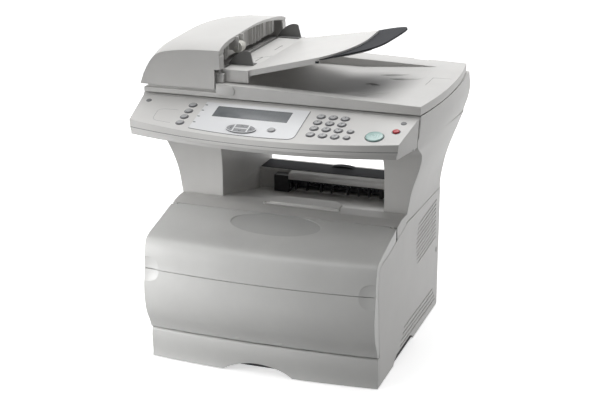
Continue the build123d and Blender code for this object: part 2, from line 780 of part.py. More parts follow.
with BuildPart() as rear_door:
    box_between(-door_half - 1.2, door_half + 1.2, back - wall, back, rear_door_low - 1,
                rear_door_high + 0.7)
    box_between(-door_half - 1.2, door_half + 1.2, back - wall - 2, back - wall, rear_door_low,
                rear_door_low + 4)
    rod_along_x(-opening_half - 3.5, opening_half + 3.5, back - rear_axis_inset, rear_axis_height,
                rear_pin)
    for x in (-60, 0, 60):
        box_between(x - 1.2, x + 1.2, back - 12, back - wall, rear_door_low + 14, rear_door_high - 6)
rear_door.part.label = "rear_door"
export_step(rear_door.part, "parts/rear_door.step")

with BuildPart() as power_switch:
    with BuildSketch(Plane.YZ.offset(switch_x0 + run_gap)):
        with BuildLine():
            Polyline(
                (back - 9, switch_height - 5), (back - 1.5, switch_height - switch_tall / 2 + 1),
                (back - 0.5, switch_height), (back - 1.5, switch_height + switch_tall / 2 - 1),
                (back - 9, switch_height + 5), close=True,
            )
        make_face()
    extrude(amount=switch_width - 2 * run_gap)
    rod_along_x(switch_x0 - switch_ear + 0.5, switch_x1 + switch_ear - 0.5, back - switch_inset,
                switch_height, switch_pin)
switch_axis = Axis((0, back - switch_inset, switch_height), (1, 0, 0))
rocker = power_switch.part.rotate(switch_axis, -switch_tilt)
rocker.label = "power_switch"
export_step(rocker, "parts/power_switch.step")

# Stand and scanner body: lofts through plan outlines that swell towards the top


def stand_solid(rows, inner_x, foot_depth, margin):
    with BuildPart() as solid:
        for row in rows:
            with BuildSketch(Plane.XY.offset(row[0])):
                with BuildLine():
                    height, front_half, middle_half, back_half, share, back_depth = row
                    front_y = at(foot_depth + share * (seam_depth - foot_depth)) + margin
                    back_y = at(back_depth) - margin
                    Polyline(
                        (front_half - margin, front_y), (inner_x + margin, front_y),
                        (inner_x + margin, back_y), (back_half - margin, back_y),
                    )
                    ThreePointArc(
                        (front_half - margin, front_y), (middle_half - margin, at(middle_depth)),
                        (back_half - margin, back_y),
                    )
                make_face()
        loft()
    return solid.part


def seam_block(clearance):
    # Everything above the sloping seam between the stand and the scanner body
    y0 = at(-60)
    y1 = at(460)
    top = scanner_top + 80
    outline = [(y0, seam_at(-60) - clearance), (y1, seam_at(460) - clearance), (y1, top), (y0, top)]
    return slab(outline, -300, 300)


below_outline = [
    (front, frame_top), (at(crease_end), side_seam_front + 0.5),
    (at(420), side_seam_front - 5.5), (at(420), frame_top),
]


def stand(inner_x, foot_depth):
    outer = stand_solid(tower, inner_x, foot_depth, 0)
    inner = stand_solid(tower, inner_x, foot_depth, stand_wall)
    above = seam_block(0)
    below = slab(below_outline, half - 10, half + 10)
    with BuildPart() as piece:
        add(outer)
        add(inner, mode=Mode.SUBTRACT)
        add(above, mode=Mode.SUBTRACT)
        box_between(0, half - stand_wall, front, back + 40, frame_top, deck_height, mode=Mode.SUBTRACT)
        box_between(0, half + 40, front, back + 40, frame_top, side_seam_back + 0.5, mode=Mode.SUBTRACT)
        add(below, mode=Mode.SUBTRACT)
    return piece.part


stand_right_part = stand(bin_right + run_gap, stand_right_front)
stand_left_part = mirror(stand(-bin_left + run_gap, stand_left_front), about=Plane.YZ)
with BuildPart() as stand_right:
    add(stand_right_part)
stand_right.part.label = "stand_right"
export_step(stand_right.part, "parts/stand_right.step")
with BuildPart() as stand_left:
    add(stand_left_part)
stand_left.part.label = "stand_left"
export_step(stand_left.part, "parts/stand_left.step")

# Scanner body: the shell above the seam, the belly between the legs and the chin under the panel
chin_outline = [
    (at(panel_low_back + 0.8), panel_seam - 6), (at(panel_low_back + 0.8), panel_seam + 0.3),
    (at(seam_depth - 0.8), seam_height + 0.8), (at(seam_depth + 3), seam_height + 5),
    (at(seam_depth + 3), seam_height + 1), (at(seam_depth - 0.4), seam_height + 0.2),
    (at(seam_depth - 0.4), panel_seam - 6),
]
chin_wall = slab(chin_outline, -chin_half, chin_half)
with BuildPart() as scanner_shape:
    for height, front_half, middle_half, back_half, front_depth, back_depth in scanner_rows:
        with BuildSketch(Plane.XY.offset(height)):
            with BuildLine():
                front_y = at(front_depth)
                back_y = at(back_depth)
                Line((-front_half, front_y), (front_half, front_y))
                ThreePointArc((front_half, front_y), (middle_half, at(middle_depth)),
                              (back_half, back_y))
                Line((back_half, back_y), (-back_half, back_y))
                ThreePointArc((-back_half, back_y), (-middle_half, at(middle_depth)),
                              (-front_half, front_y))
            make_face()
    loft()
above_seam = seam_block(0)
glass_low = scanner_top - 6
room_outline = [
    (at(82), seam_at(82) + scanner_wall), (at(385), seam_at(385) + scanner_wall),
    (at(385), glass_low), (at(82), glass_low),
]
room = slab(room_outline, -half - 24, half + 24)
belly_left = bin_left + 0.6
belly_right = bin_right - 0.6
with BuildPart() as scanner_housing:
    add(scanner_shape.part)
    add(above_seam, mode=Mode.INTERSECT)
    box_between(belly_left, belly_right, at(52), at(belly_back), belly_height, panel_seam + 3)
    add(room, mode=Mode.SUBTRACT)
    box_between(belly_left + scanner_wall, belly_right - scanner_wall, at(82), at(belly_back - 4),
                belly_height + scanner_wall, scanner_top - 27, mode=Mode.SUBTRACT)
    with BuildSketch(Plane.XY.offset(panel_seam - 6)):
        with BuildLine():
            low_front = at(panel_low_front)
            ThreePointArc((-panel_low_half + 1, low_front), (0, low_front - panel_low_bow - 1.5),
                          (panel_low_half - 1, low_front))
            Polyline((panel_low_half - 1, low_front), (chin_half, at(seam_depth - 0.4)),
                     (-chin_half, at(seam_depth - 0.4)), (-panel_low_half + 1, low_front))
        make_face()
    extrude(amount=6)
    add(chin_wall)
    rod_along_x(-half - 30, half + 30, at(rod_depth), rod_height, rod_radius)
    for x0, x1, y0, y1 in ((glass_left, glass_right, at(glass_front), at(glass_back)),
                           (strip_left, strip_right, at(glass_front), at(glass_back))):
        box_between(x0, x1, y0, y1, glass_low + 1, scanner_top + 1, mode=Mode.SUBTRACT)
        box_between(x0 + glass_ledge, x1 - glass_ledge, y0 + glass_ledge, y1 - glass_ledge,
                    glass_low - 1, scanner_top, mode=Mode.SUBTRACT)
    for x in (-hinge_x, hinge_x):
        box_between(x - hinge_half, x + hinge_half, at(lid_axis_depth - 4), at(lid_axis_depth + 4),
                    scanner_top - 1, lid_axis_height)
        rod_along_x(x - hinge_half, x + hinge_half, at(lid_axis_depth), lid_axis_height, lid_eye)
    rod_along_x(-hinge_x - 20, hinge_x + 20, at(lid_axis_depth), lid_axis_height, lid_pin + pin_gap,
                mode=Mode.SUBTRACT)
scanner_housing.part.label = "scanner_housing"
export_step(scanner_housing.part, "parts/scanner_housing.step")

with BuildPart() as platen_glass:
    for x0, x1 in ((glass_left, glass_right), (strip_left, strip_right)):
        box_between(x0 + run_gap, x1 - run_gap, at(glass_front) + run_gap, at(glass_back) - run_gap,
                    glass_low + 1, glass_low + 1 + glass_thick)
platen_glass.part.label = "platen_glass"
export_step(platen_glass.part, "parts/platen_glass.step")

with BuildPart() as scan_carriage:
    box_between(carriage_left, carriage_left + carriage_width, at(glass_front - 2), at(glass_back + 2),
                rod_height - 6, glass_low - 2)
    rod_along_x(carriage_left - 1, carriage_left + carriage_width + 1, at(rod_depth), rod_height,
                rod_radius + pin_gap, mode=Mode.SUBTRACT)
scan_carriage.part.label = "scan_carriage"
export_step(scan_carriage.part, "parts/scan_carriage.step")

# Control panel: a bowed wedge whose top leans back
panel_plane = Plane(
    origin=(0, at(panel_front_depth), panel_front_height),
    x_dir=(1, 0, 0),
    z_dir=(0, -sin(radians(panel_tilt)), cos(radians(panel_tilt))),
)


def panel_solid(margin):
    # The wedge between its flat underside and its tilted top; margin is the skin taken off all round
    with BuildPart() as wedge:
        with BuildSketch(Plane.XY.offset(panel_seam - margin)):
            with BuildLine():
                y = at(panel_low_front) + margin
                x = panel_low_half - margin
                rear = panel_low_back_half - margin
                ThreePointArc((-x, y), (0, y - panel_low_bow), (x, y))
                rear_y = at(panel_low_back) - margin
                Polyline((x, y), (rear, rear_y), (-rear, rear_y), (-x, y))
            make_face()
        with BuildSketch(panel_plane.offset(-margin)):
            with BuildLine():
                x = panel_front_half - margin
                rear = panel_back_half - margin
                ThreePointArc((-x, margin), (0, margin - panel_bow), (x, margin))
                rear_y = panel_length - margin
                Polyline((x, margin), (rear, rear_y), (-rear, rear_y), (-x, margin))
            make_face()
        loft(ruled=True)
    return wedge.part


# Keys by name: place on the panel (x, along the slope) and radius
digit_x = (79.5, 98.9, 118.2)
digit_s = (58.6, 40.8, 23.3, 5.1)
digit_names = ("key_1", "key_2", "key_3", "key_4", "key_5", "key_6", "key_7", "key_8", "key_9",
               "key_star", "key_0", "key_hash")
round_keys = {}
for number, name in enumerate(digit_names):
    round_keys[name] = (digit_x[number % 3], digit_s[number // 3], 5.8)
round_keys["redial_key"] = (137.3, 23.4, 4.5)
round_keys["pause_key"] = (136.6, 5.7, 4.5)
round_keys["start_button"] = (177, 15.6, 13.4)
round_keys["stop_button"] = (205, 35.6, 5.3)
round_keys["return_key"] = (16.2, 6.9, 5.8)
for name, s in (("copy_key", 58.3), ("scan_key", 39.8), ("fax_key", 22.2), ("options_key", 4.1)):
    round_keys[name] = (-134, s, 5.5)
menu_x = -31.3
menu_s = 1.6
menu_width = 48.2
menu_tall = 23.8
menu_half = 11.5
menu_split = 0.5

panel_outer = panel_solid(0)
panel_inner = panel_solid(panel_skin)


def plate_outline(margin):
    # Outline of the display plate on the panel's top, grown by the margin
    left = plate_left - margin
    right = plate_right + margin
    low = plate_front - margin
    high = plate_back + margin
    corner = plate_corner + margin
    bend = corner * (1 - sin(radians(45)))
    Polyline((right, low + corner), (right, high), (left, high), (left, low + 6))
    Spline((left, low + 6), (0, low - 2), (right - corner, low))
    ThreePointArc((right - corner, low), (right - bend, low + bend), (right, low + corner))


with BuildPart() as control_panel:
    add(panel_outer)
    add(panel_inner, mode=Mode.SUBTRACT)
    with BuildSketch(panel_plane.offset(plate_proud - plate_thick)):
        with BuildLine():
            plate_outline(run_gap)
        make_face()
    extrude(amount=plate_thick + 1, mode=Mode.SUBTRACT)
    with BuildSketch(panel_plane):
        for x, s, radius in round_keys.values():
            with Locations((x, s)):
                Circle(radius + key_play)
        with Locations((menu_x, menu_s)):
            Ellipse(menu_width / 2 + key_play, menu_tall / 2 + key_play)
    extrude(amount=6, both=True, mode=Mode.SUBTRACT)
control_panel.part.label = "control_panel"
export_step(control_panel.part, "parts/control_panel.step")

with BuildPart() as display_panel:
    with BuildSketch(panel_plane.offset(plate_proud - plate_thick)):
        with BuildLine():
            plate_outline(0)
        make_face()
    extrude(amount=plate_thick)
    with BuildSketch(panel_plane):
        with Locations(round_keys["return_key"][:2]):
            Circle(round_keys["return_key"][2] + key_play)
        with Locations((menu_x, menu_s)):
            Ellipse(menu_width / 2 + key_play, menu_tall / 2 + key_play)
    extrude(amount=6, both=True, mode=Mode.SUBTRACT)
    with BuildSketch(panel_plane.offset(plate_proud)):
        with Locations((-29.6, 46.9)):
            Rectangle(124, 31)
    extrude(amount=-0.5, mode=Mode.SUBTRACT)
display_panel.part.label = "display_panel"
export_step(display_panel.part, "parts/display_panel.step")

# Each key is a short piston in its hole: travel below, a low dome above
key_rise = 2
key_sink = panel_skin + key_travel + 0.8
panel_axis = Axis(panel_plane.origin, panel_plane.z_dir)
for name, (x, s, radius) in round_keys.items():
    with BuildPart() as key:
        with BuildSketch(panel_plane.offset(-key_sink)):
            with Locations((x, s)):
                Circle(radius)
        extrude(amount=key_sink + key_rise)
        fillet(key.edges().sort_by(panel_axis)[-1], 0.8)
    key.part.label = name
    export_step(key.part, f"parts/{name}.step")

menu_blocks = {
    "menu_left_key": (-menu_width / 2, -menu_half - menu_split / 2, -menu_tall, menu_tall),
    "menu_right_key": (menu_half + menu_split / 2, menu_width / 2, -menu_tall, menu_tall),
    "menu_up_key": (-menu_half + menu_split / 2, menu_half - menu_split / 2, menu_split / 2, menu_tall),
    "menu_down_key": (-menu_half + menu_split / 2, menu_half - menu_split / 2, -menu_tall,
                      -menu_split / 2),
}
for name, (x0, x1, s0, s1) in menu_blocks.items():
    with BuildPart() as key:
        with BuildSketch(panel_plane.offset(-key_sink)):
            with Locations((menu_x, menu_s)):
                Ellipse(menu_width / 2, menu_tall / 2)
            with Locations((menu_x + (x0 + x1) / 2, menu_s + (s0 + s1) / 2)):
                Rectangle(x1 - x0, s1 - s0, mode=Mode.INTERSECT)
        extrude(amount=key_sink + key_rise)
    key.part.label = name
    export_step(key.part, f"parts/{name}.step")

# Lid with its output recess under the feeder's tray
lid_slope_rise = lid_high - lid_right_high


def lid_outline(margin):
    right_front = (230 - margin, at(lid_front) + margin)
    right_back = (228.5 - margin, at(lid_back) - margin)
    Polyline(right_back, (lid_left + margin, at(lid_back) - margin),
             (lid_left + margin, at(lid_front) + margin), right_front)
    ThreePointArc(right_front, (241 - margin, at(middle_depth)), right_back)


def across(outline, y0, y1):
    # A closed outline of (x, z) points pulled from y0 back to y1
    with BuildPart() as piece:
        with BuildSketch(Plane.XZ.offset(-y0)):
            with BuildLine():
                Polyline(*outline, close=True)
            make_face()
        extrude(amount=-(y1 - y0))
    return piece.part


lid_fall = lid_slope_rise / (241 - lid_step)
above_lid = lid_high + 60
lid_cut = across([
    (-300, lid_step_height), (lid_step, lid_step_height), (lid_step, lid_high),
    (300, lid_high - lid_fall * (300 - lid_step)), (300, above_lid), (-300, above_lid),
], at(-50), at(450))
lid_recess = across([
    (lid_step + 8, recess_floor), (60, recess_floor), (recess_right, lid_high - 7.6),
    (recess_right, above_lid), (lid_step + 8, above_lid),
], at(recess_front), at(recess_back))
with BuildPart() as lid:
    with BuildSketch(Plane.XY.offset(lid_low)):
        with BuildLine():
            lid_outline(0)
        make_face()
    extrude(amount=lid_high - lid_low)
    add(lid_cut, mode=Mode.SUBTRACT)
    add(lid_recess, mode=Mode.SUBTRACT)
    for x in (-212, 212):
        for depth in (92, 368):
            box_between(x - 6, x + 6, at(depth), at(depth + 10), scanner_top, lid_low)
    for x in (-hinge_x, hinge_x):
        inner = hinge_half + 0.5
        box_between(x - inner, x + inner, at(lid_axis_depth - 9), at(lid_axis_depth + 6),
                    lid_low - 1, lid_high + 1, mode=Mode.SUBTRACT)
        for x0, x1 in ((x - hinge_outer, x - inner), (x + inner, x + hinge_outer)):
            box_between(x0, x1, at(lid_axis_depth - 12), at(lid_axis_depth), lid_low,
                        lid_axis_height + 4)
            rod_along_x(x0, x1, at(lid_axis_depth), lid_axis_height, 4.5)
        rod_along_x(x - hinge_outer, x + hinge_outer, at(lid_axis_depth), lid_axis_height, lid_pin)
lid.part.label = "lid"
export_step(lid.part, "parts/lid.step")

# Feeder cover: a crowned shell over the feeder, open below and along its right side
feeder_rows = [(76, 0), (96, 7), (140, 11), (215, 13.5), (290, 11), (345, 5.5), (381, -3)]


def feeder_solid(margin, first, last):
    with BuildPart() as solid:
        for depth, rise in feeder_rows:
            place = min(max(depth, first), last)
            top = rise - margin
            with BuildSketch(Plane.XZ.offset(-at(place))):
                with BuildLine():
                    Spline(
                        (feeder_left + margin, feeder_low), (-229.5 + margin, feeder_top - 46),
                        (-219 + margin, feeder_top - 26 + 0.6 * top),
                        (-207 + margin * 0.7, feeder_top - 13 + top),
                        (-184, feeder_top - 5.5 + top), (-156, feeder_top - 2 + top),
                        (-124, feeder_top - 0.4 + top), (feeder_right - margin, feeder_top + top),
                    )
                    Polyline((feeder_right - margin, feeder_top + top),
                             (feeder_right - margin, feeder_low),
                             (feeder_left + margin, feeder_low))
                make_face()
        loft()
    return solid.part


feeder_outer = feeder_solid(0, 0, 500)
feeder_inner = feeder_solid(feeder_skin, 76 + feeder_skin, 381 - feeder_skin)
mouth_front = 94
mouth_back = 366
with BuildPart() as mouth_cut:
    with BuildSketch(Plane.YZ.offset(feeder_right - 2 * feeder_skin)):
        with BuildLine():
            left_corner = (at(mouth_front), feeder_top - 1)
            right_corner = (at(mouth_back), feeder_top - 5)
            ThreePointArc(left_corner, (at(215), feeder_top + 10), right_corner)
            Polyline(right_corner, (at(mouth_back), lid_low), (at(mouth_front), lid_low), left_corner)
        make_face()
    extrude(amount=4 * feeder_skin)
ear_front = feed_depth - 12
ear_back = feed_depth + 9
with BuildPart() as adf_cover:
    add(feeder_outer)
    add(feeder_inner, mode=Mode.SUBTRACT)
    add(mouth_cut.part, mode=Mode.SUBTRACT)
    box_between(feeder_right - 9, feeder_right + 1, at(70), at(400), feeder_low - 1.5,
                slope_height + 1.5,
                mode=Mode.SUBTRACT)
    for y0 in (at(ear_front), at(ear_back)):
        box_between(feeder_right - 10, feeder_right + 6, y0, y0 + 3, feed_height - 4, feeder_top + 10.5)
    for y0, y1 in ((at(80), at(84)), (at(372), at(376))):
        box_between(feeder_axis - 3.5, feeder_axis + 4, y0 - 2.5, y1 + 2.5,
                    feeder_axis_height - 4, feeder_axis_height + 12)
    rod_along_y(feeder_right + 2, at(70), at(400), feed_height, 3 + pin_gap, mode=Mode.SUBTRACT)
    rod_along_y(feeder_axis, at(79), at(90), feeder_axis_height, feeder_pin)
    rod_along_y(feeder_axis, at(366), at(377), feeder_axis_height, feeder_pin)
adf_cover.part.label = "adf_cover"
export_step(adf_cover.part, "parts/adf_cover.step")

# Feeder body: the bed under the cover and the two bearings of the feeder's tray
with BuildPart() as adf_frame:
    box_between(-218, lid_step - 3, at(92), at(364), lid_step_height, lid_high + 1)
    box_between(-200, lid_step - 3, at(92), at(364), lid_high + 1, bed_height - 6)
    box_between(-170, lid_step - 3, at(96), at(360), bed_height - 6, bed_height)
    for y0, y1 in ((at(87), at(91)), (at(365), at(369))):
        box_between(feeder_axis - feeder_ear, -205, y0, y1,
                    feeder_axis_height - feeder_ear, feeder_axis_height + feeder_ear)
        box_between(feeder_axis + 6, -205, y0, y1, lid_step_height, feeder_axis_height + feeder_ear)
        box_between(-215, -205, at(87), at(369), lid_step_height, lid_step_height + 3)
    rod_along_y(feeder_axis, at(80), at(376), feeder_axis_height, feeder_pin + pin_gap,
                mode=Mode.SUBTRACT)
    for y0, y1 in ((at(84), at(90.5)), (at(365.5), at(372))):
        box_between(-114, lid_step - 0.4, y0, y1, lid_step_height, tray_axis_height + 5)
        box_between(lid_step - 0.4, tray_axis + 5, y0, y1, lid_high + 0.6, tray_axis_height + 5)
    box_between(-114, -108, at(84), at(372), lid_step_height, lid_step_height + 3)
    rod_along_y(tray_axis, at(80), at(376), tray_axis_height, tray_pin + pin_gap, mode=Mode.SUBTRACT)
adf_frame.part.label = "adf_frame"
export_step(adf_frame.part, "parts/adf_frame.step")

with BuildPart() as feed_roller:
    rod_along_y(feeder_right + 2, at(ear_front), at(ear_back) + 3, feed_height, 3)
    rod_along_y(feeder_right + 2, at(ear_front) + 3.5, at(ear_back) - 0.5, feed_height, feed_radius)
feed_roller.part.label = "feed_roller"
export_step(feed_roller.part, "parts/feed_roller.step")

# Feeder tray: a sloping plate on a level root, hinged at its left end
slope_plane = Plane(
    origin=(slope_start, 0, slope_height),
    x_dir=(cos(radians(slope)), 0, sin(radians(slope))),
    z_dir=(-sin(radians(slope)), 0, cos(radians(slope))),
)


def along(x):
    # Distance along the slope of a point at x
    return (x - slope_start) / cos(radians(slope))


with BuildPart() as input_tray:
    with BuildSketch(slope_plane.offset(-tray_thick)):
        with BuildLine():
            Polyline((along(105), at(272)), (along(slope_start), at(357)),
                     (along(slope_start), at(95)), (along(57), at(95)))
            Spline((along(57), at(95)), (along(88), at(112)), (along(106), at(150)),
                   (along(110), at(207)), (along(105), at(272)))
        make_face()
    extrude(amount=tray_thick)
    with BuildSketch(slope_plane.offset(-tray_rim)):
        with BuildLine():
            Polyline((along(slope_start), at(95)), (along(57), at(95)), (along(60), at(98)),
                     (along(slope_start), at(98)), close=True)
        make_face()
    extrude(amount=tray_rim)
    box_between(-97, slope_start + 1, at(95), at(361), slope_height - tray_thick, slope_height)
    box_between(-100, slope_start + 1, at(91.5), at(96), lid_high + 1.2, slope_height)
    box_between(-100, slope_start + 1, at(360), at(364.5), lid_high + 1.2, slope_height)
    box_between(-97, -92, at(95), at(361), tray_axis_height - 3, slope_height)
    rod_along_y(tray_axis, at(85), at(371), tray_axis_height, tray_pin)
input_tray.part.label = "input_tray"
export_step(input_tray.part, "parts/input_tray.step")

# Extension that slides out from under the feeder tray
with BuildPart() as tray_extension:
    with BuildSketch(slope_plane.offset(-tray_thick - run_gap - extension_thick)):
        with BuildLine():
            Polyline((along(98), at(297)), (along(40), at(290)),
                     (along(40), at(107)), (along(56), at(107)))
            Spline((along(56), at(107)), (along(104), at(104)), (along(140), at(118)),
                   (along(155), at(175)), (along(158), at(238)), (along(150), at(275)),
                   (along(124), at(293)), (along(98), at(297)))
        make_face()
    extrude(amount=extension_thick)
tray_extension.part.label = "tray_extension"
export_step(tray_extension.part, "parts/tray_extension.step")

# Paper guides of the feeder: upright fins that slide towards each other on the tray's root
fin_low = slope_height + run_gap
for name, depth, inward in (("guide_front", guide_front_depth, 1),
                            ("guide_back", guide_back_depth, -1)):
    with BuildPart() as guide:
        with BuildSketch(Plane.XZ.offset(-at(depth - guide_thick / 2))):
            with BuildLine():
                Spline((-103, fin_low), (-98, fin_low + 7.2), (-90.5, fin_low + 15.4),
                       (-82, fin_low + 20.8), (-73.5, fin_low + 23.1), (-65.5, fin_low + 21.6))
                Polyline((-65.5, fin_low + 21.6), (-60, fin_low), (-103, fin_low))
            make_face()
        extrude(amount=-guide_thick)
        foot = sorted((at(depth), at(depth + inward * 14)))
        box_between(-96, -60, foot[0], foot[1], fin_low, fin_low + 1.2)
    guide.part.label = name
    export_step(guide.part, f"parts/{name}.step")
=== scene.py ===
import bpy, bmesh, json, math
from mathutils import Matrix, Vector

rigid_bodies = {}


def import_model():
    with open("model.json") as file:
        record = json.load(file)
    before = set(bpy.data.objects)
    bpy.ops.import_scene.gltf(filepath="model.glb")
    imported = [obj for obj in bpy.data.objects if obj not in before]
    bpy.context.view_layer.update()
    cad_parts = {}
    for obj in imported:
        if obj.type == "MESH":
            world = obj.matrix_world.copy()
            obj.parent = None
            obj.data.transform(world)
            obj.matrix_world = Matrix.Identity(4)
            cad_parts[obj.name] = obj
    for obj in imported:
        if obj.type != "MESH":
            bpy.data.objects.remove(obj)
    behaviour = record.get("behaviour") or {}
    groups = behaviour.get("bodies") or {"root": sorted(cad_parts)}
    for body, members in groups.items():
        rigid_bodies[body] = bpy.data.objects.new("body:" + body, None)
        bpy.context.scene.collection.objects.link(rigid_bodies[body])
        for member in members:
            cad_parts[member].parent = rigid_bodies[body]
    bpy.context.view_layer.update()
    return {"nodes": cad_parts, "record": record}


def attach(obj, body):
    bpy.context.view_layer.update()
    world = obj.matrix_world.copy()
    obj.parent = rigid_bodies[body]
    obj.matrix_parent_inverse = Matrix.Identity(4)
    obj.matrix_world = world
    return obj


for thing in list(bpy.data.objects):
    bpy.data.objects.remove(thing)
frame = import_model()
nodes = frame["nodes"]
print("frame loaded:", len(nodes), "nodes")

mm = 0.001  # every size below is in millimetres, and point() turns it into metres
frontY = -180  # y of depth 0


def at(depth):
    return frontY + depth


def point(x, depth, z):
    return Vector((x * mm, at(depth) * mm, z * mm))


# shader sockets as values, so that masks and blends read as sums

class Wire:
    def __init__(self, tree, socket):
        self.tree = tree
        self.socket = socket

    def combine(self, operation, left, right):
        return self.tree.node("ShaderNodeMath", {"operation": operation}, {0: left, 1: right})

    def __add__(self, other):
        return self.combine("ADD", self, other)

    def __radd__(self, other):
        return self.combine("ADD", other, self)

    def __sub__(self, other):
        return self.combine("SUBTRACT", self, other)

    def __rsub__(self, other):
        return self.combine("SUBTRACT", other, self)

    def __mul__(self, other):
        return self.combine("MULTIPLY", self, other)

    def __rmul__(self, other):
        return self.combine("MULTIPLY", other, self)

    def __pow__(self, other):
        return self.combine("POWER", self, other)

    def __rpow__(self, other):
        return self.combine("POWER", other, self)

    def __gt__(self, other):
        return self.combine("GREATER_THAN", self, other)

    def __lt__(self, other):  # what number > wire becomes
        return self.combine("LESS_THAN", self, other)

    def clipped(self):
        return self.tree.node("ShaderNodeClamp", {}, {0: self})


class Finish:
    # the node tree of a material or of the world; node() adds any node, and hands back one of
    # its outputs as a Wire
    def __init__(self, owner):
        self.owner = owner
        owner.use_nodes = True
        self.links = owner.node_tree.links
        self.nodes = owner.node_tree.nodes
        self.nodes.clear()

    def node(self, kind, settings, inputs, out=0):
        made = self.nodes.new(kind)
        for key, value in settings.items():
            setattr(made, key, value)
        for key, value in inputs.items():
            socket = made.inputs[key]
            if isinstance(value, Wire):
                self.links.new(value.socket, socket)
            elif socket.type == "RGBA":
                socket.default_value = (*value, 1)
            else:
                socket.default_value = value
        return Wire(self, made.outputs[out]) if len(made.outputs) else None

    def place(self):
        return self.node("ShaderNodeTexCoord", {}, {}, out="Object")

    def axis(self, letter):
        return self.node("ShaderNodeSeparateXYZ", {}, {0: self.place()}, out=letter)

    def noise(self, scale, detail=2.0, stretch=(1, 1, 1), rough=0.5):
        spot = self.node("ShaderNodeMapping", {}, {"Vector": self.place(), "Scale": stretch})
        return self.node("ShaderNodeTexNoise", {}, {
            "Vector": spot, "Scale": scale, "Detail": detail, "Roughness": rough})

    def blend(self, share, first, second):
        colours = {0: share, 6: first, 7: second}
        return self.node("ShaderNodeMix", {"data_type": "RGBA"}, colours, out=2)

    def bump(self, strength, depth, height, under=None):
        inputs = {"Strength": strength, "Distance": depth * mm, "Height": height}
        if under:
            inputs["Normal"] = under
        return self.node("ShaderNodeBump", {}, inputs)

    def close(self, shader, kind="ShaderNodeOutputMaterial"):
        self.node(kind, {}, {0: shader})
        return self.owner

    def surface(self, inputs):
        return self.close(self.node("ShaderNodeBsdfPrincipled", {}, inputs))


def srgb(*colour):
    # a screen colour, 0 to 255, as the linear colour that shaders take
    shares = [part / 255 for part in colour]
    return tuple(c / 12.92 if c <= 0.04045 else ((c + 0.055) / 1.055) ** 2.4 for c in shares)


# what a moulded plastic has unless its own values say otherwise; the edge is a radius
plasticValues = {"rough": 0.5, "grain": 0.12, "grainScale": 1500, "mottleScale": 14,
                 "speck": 0.12, "speckScale": 900, "dust": 0.5, "dustScale": 3.5,
                 "depth": 0.07, "edge": 0.9, "shine": 0.5, "coat": 0.0, "coatRough": 0.25}


def dishShare(finish, dish):
    # how much painted shade darkens the dish: an oval seen from above, and nothing below its floor
    across = finish.axis("X") * (1 / (dish["halfWidth"] * mm))
    along = (finish.axis("Y") - at(dish["depth"]) * mm) * (1 / (dish["halfDepth"] * mm))
    inside = ((1 - (across ** 2 + along ** 2) ** 0.5) * dish["sharp"]).clipped()
    above = ((finish.axis("Z") - dish["low"] * mm) * (1 / (dish["fade"] * mm))).clipped()
    return inside * above * dish["shade"]


def mouldedPlastic(name, changes):
    # fine spark-eroded grain, slow mottling, a dusty bloom and edges rounded by the mould
    values = {**plasticValues, **changes}
    finish = Finish(bpy.data.materials.new(name))
    deep = tuple(c * (1 - values["depth"]) for c in values["colour"])
    pale = tuple(min(1, c * (1 + values["depth"] * 0.6)) for c in values["colour"])
    mottle = finish.noise(values["mottleScale"], 3, rough=0.6)
    speck = finish.noise(values["speckScale"], 1)
    dust = (finish.noise(values["dustScale"], 4, (1, 1, 2.5)) - 0.42).clipped() * values["dust"]
    base = finish.blend((mottle * 1.6 - 0.3).clipped(), deep, pale)
    base = finish.blend(dust, base, values.get("bloom", pale))
    base = finish.blend((speck * 3 - 1).clipped() * values["speck"], base, deep)
    # the dish gets a darker colour, painted shade for its tilt away from the light
    if "dish" in values:
        dish = values["dish"]
        base = finish.blend(dishShare(finish, dish), base, dish["colour"])
    coarse = finish.noise(values["grainScale"] * 0.4, 1)
    grain = finish.noise(values["grainScale"], 2) * 0.6 + coarse * 0.4
    rounded = finish.node("ShaderNodeBevel", {"samples": 6}, {"Radius": values["edge"] * mm})
    return finish.surface({
        "Base Color": base,
        "Roughness": values["rough"] + mottle * 0.08 - 0.04 + speck * 0.04,
        "Normal": finish.bump(values["grain"], 0.2, grain, rounded),
        "IOR": 1.46, "Specular IOR Level": values["shine"],
        "Coat Weight": values["coat"], "Coat Roughness": values["coatRough"]})


def platedSteel(name, values):
    # zinc with a brushed run and cloudy tint
    finish = Finish(bpy.data.materials.new(name))
    brush = finish.noise(160, 3, (1, 22, 22))
    cloud = finish.noise(26, 3)
    base = finish.blend((brush * 1.4 - 0.2).clipped(), values["dark"], values["light"])
    base = finish.blend((cloud - 0.45).clipped(), base, values["tint"])
    return finish.surface({
        "Base Color": base, "Roughness": values["rough"] + brush * 0.14 + cloud * 0.08,
        "Metallic": 0.9, "Normal": finish.bump(0.15, 0.2, brush)})


def gripRubber(name, values):
    # matt rubber, paler where paper has worn it
    finish = Finish(bpy.data.materials.new(name))
    grain = finish.noise(700, 3)
    worn = (finish.noise(60, 3) - 0.4).clipped()
    return finish.surface({
        "Base Color": finish.blend(worn, values["colour"], values["worn"]),
        "Roughness": values["rough"] + grain * 0.12, "Normal": finish.bump(0.3, 0.3, grain)})


def platenGlass(name, values):
    # clear glass with faint smears
    finish = Finish(bpy.data.materials.new(name))
    smear = (finish.noise(9, 4, (1, 3, 1)) - 0.5).clipped()
    return finish.surface({
        "Base Color": finish.blend(smear, values["colour"], values["smear"]),
        "Roughness": 0.03 + smear * 0.3, "IOR": 1.5, "Alpha": 0.45 + smear * 0.2,
        "Coat Weight": 1.0, "Coat Roughness": 0.02})


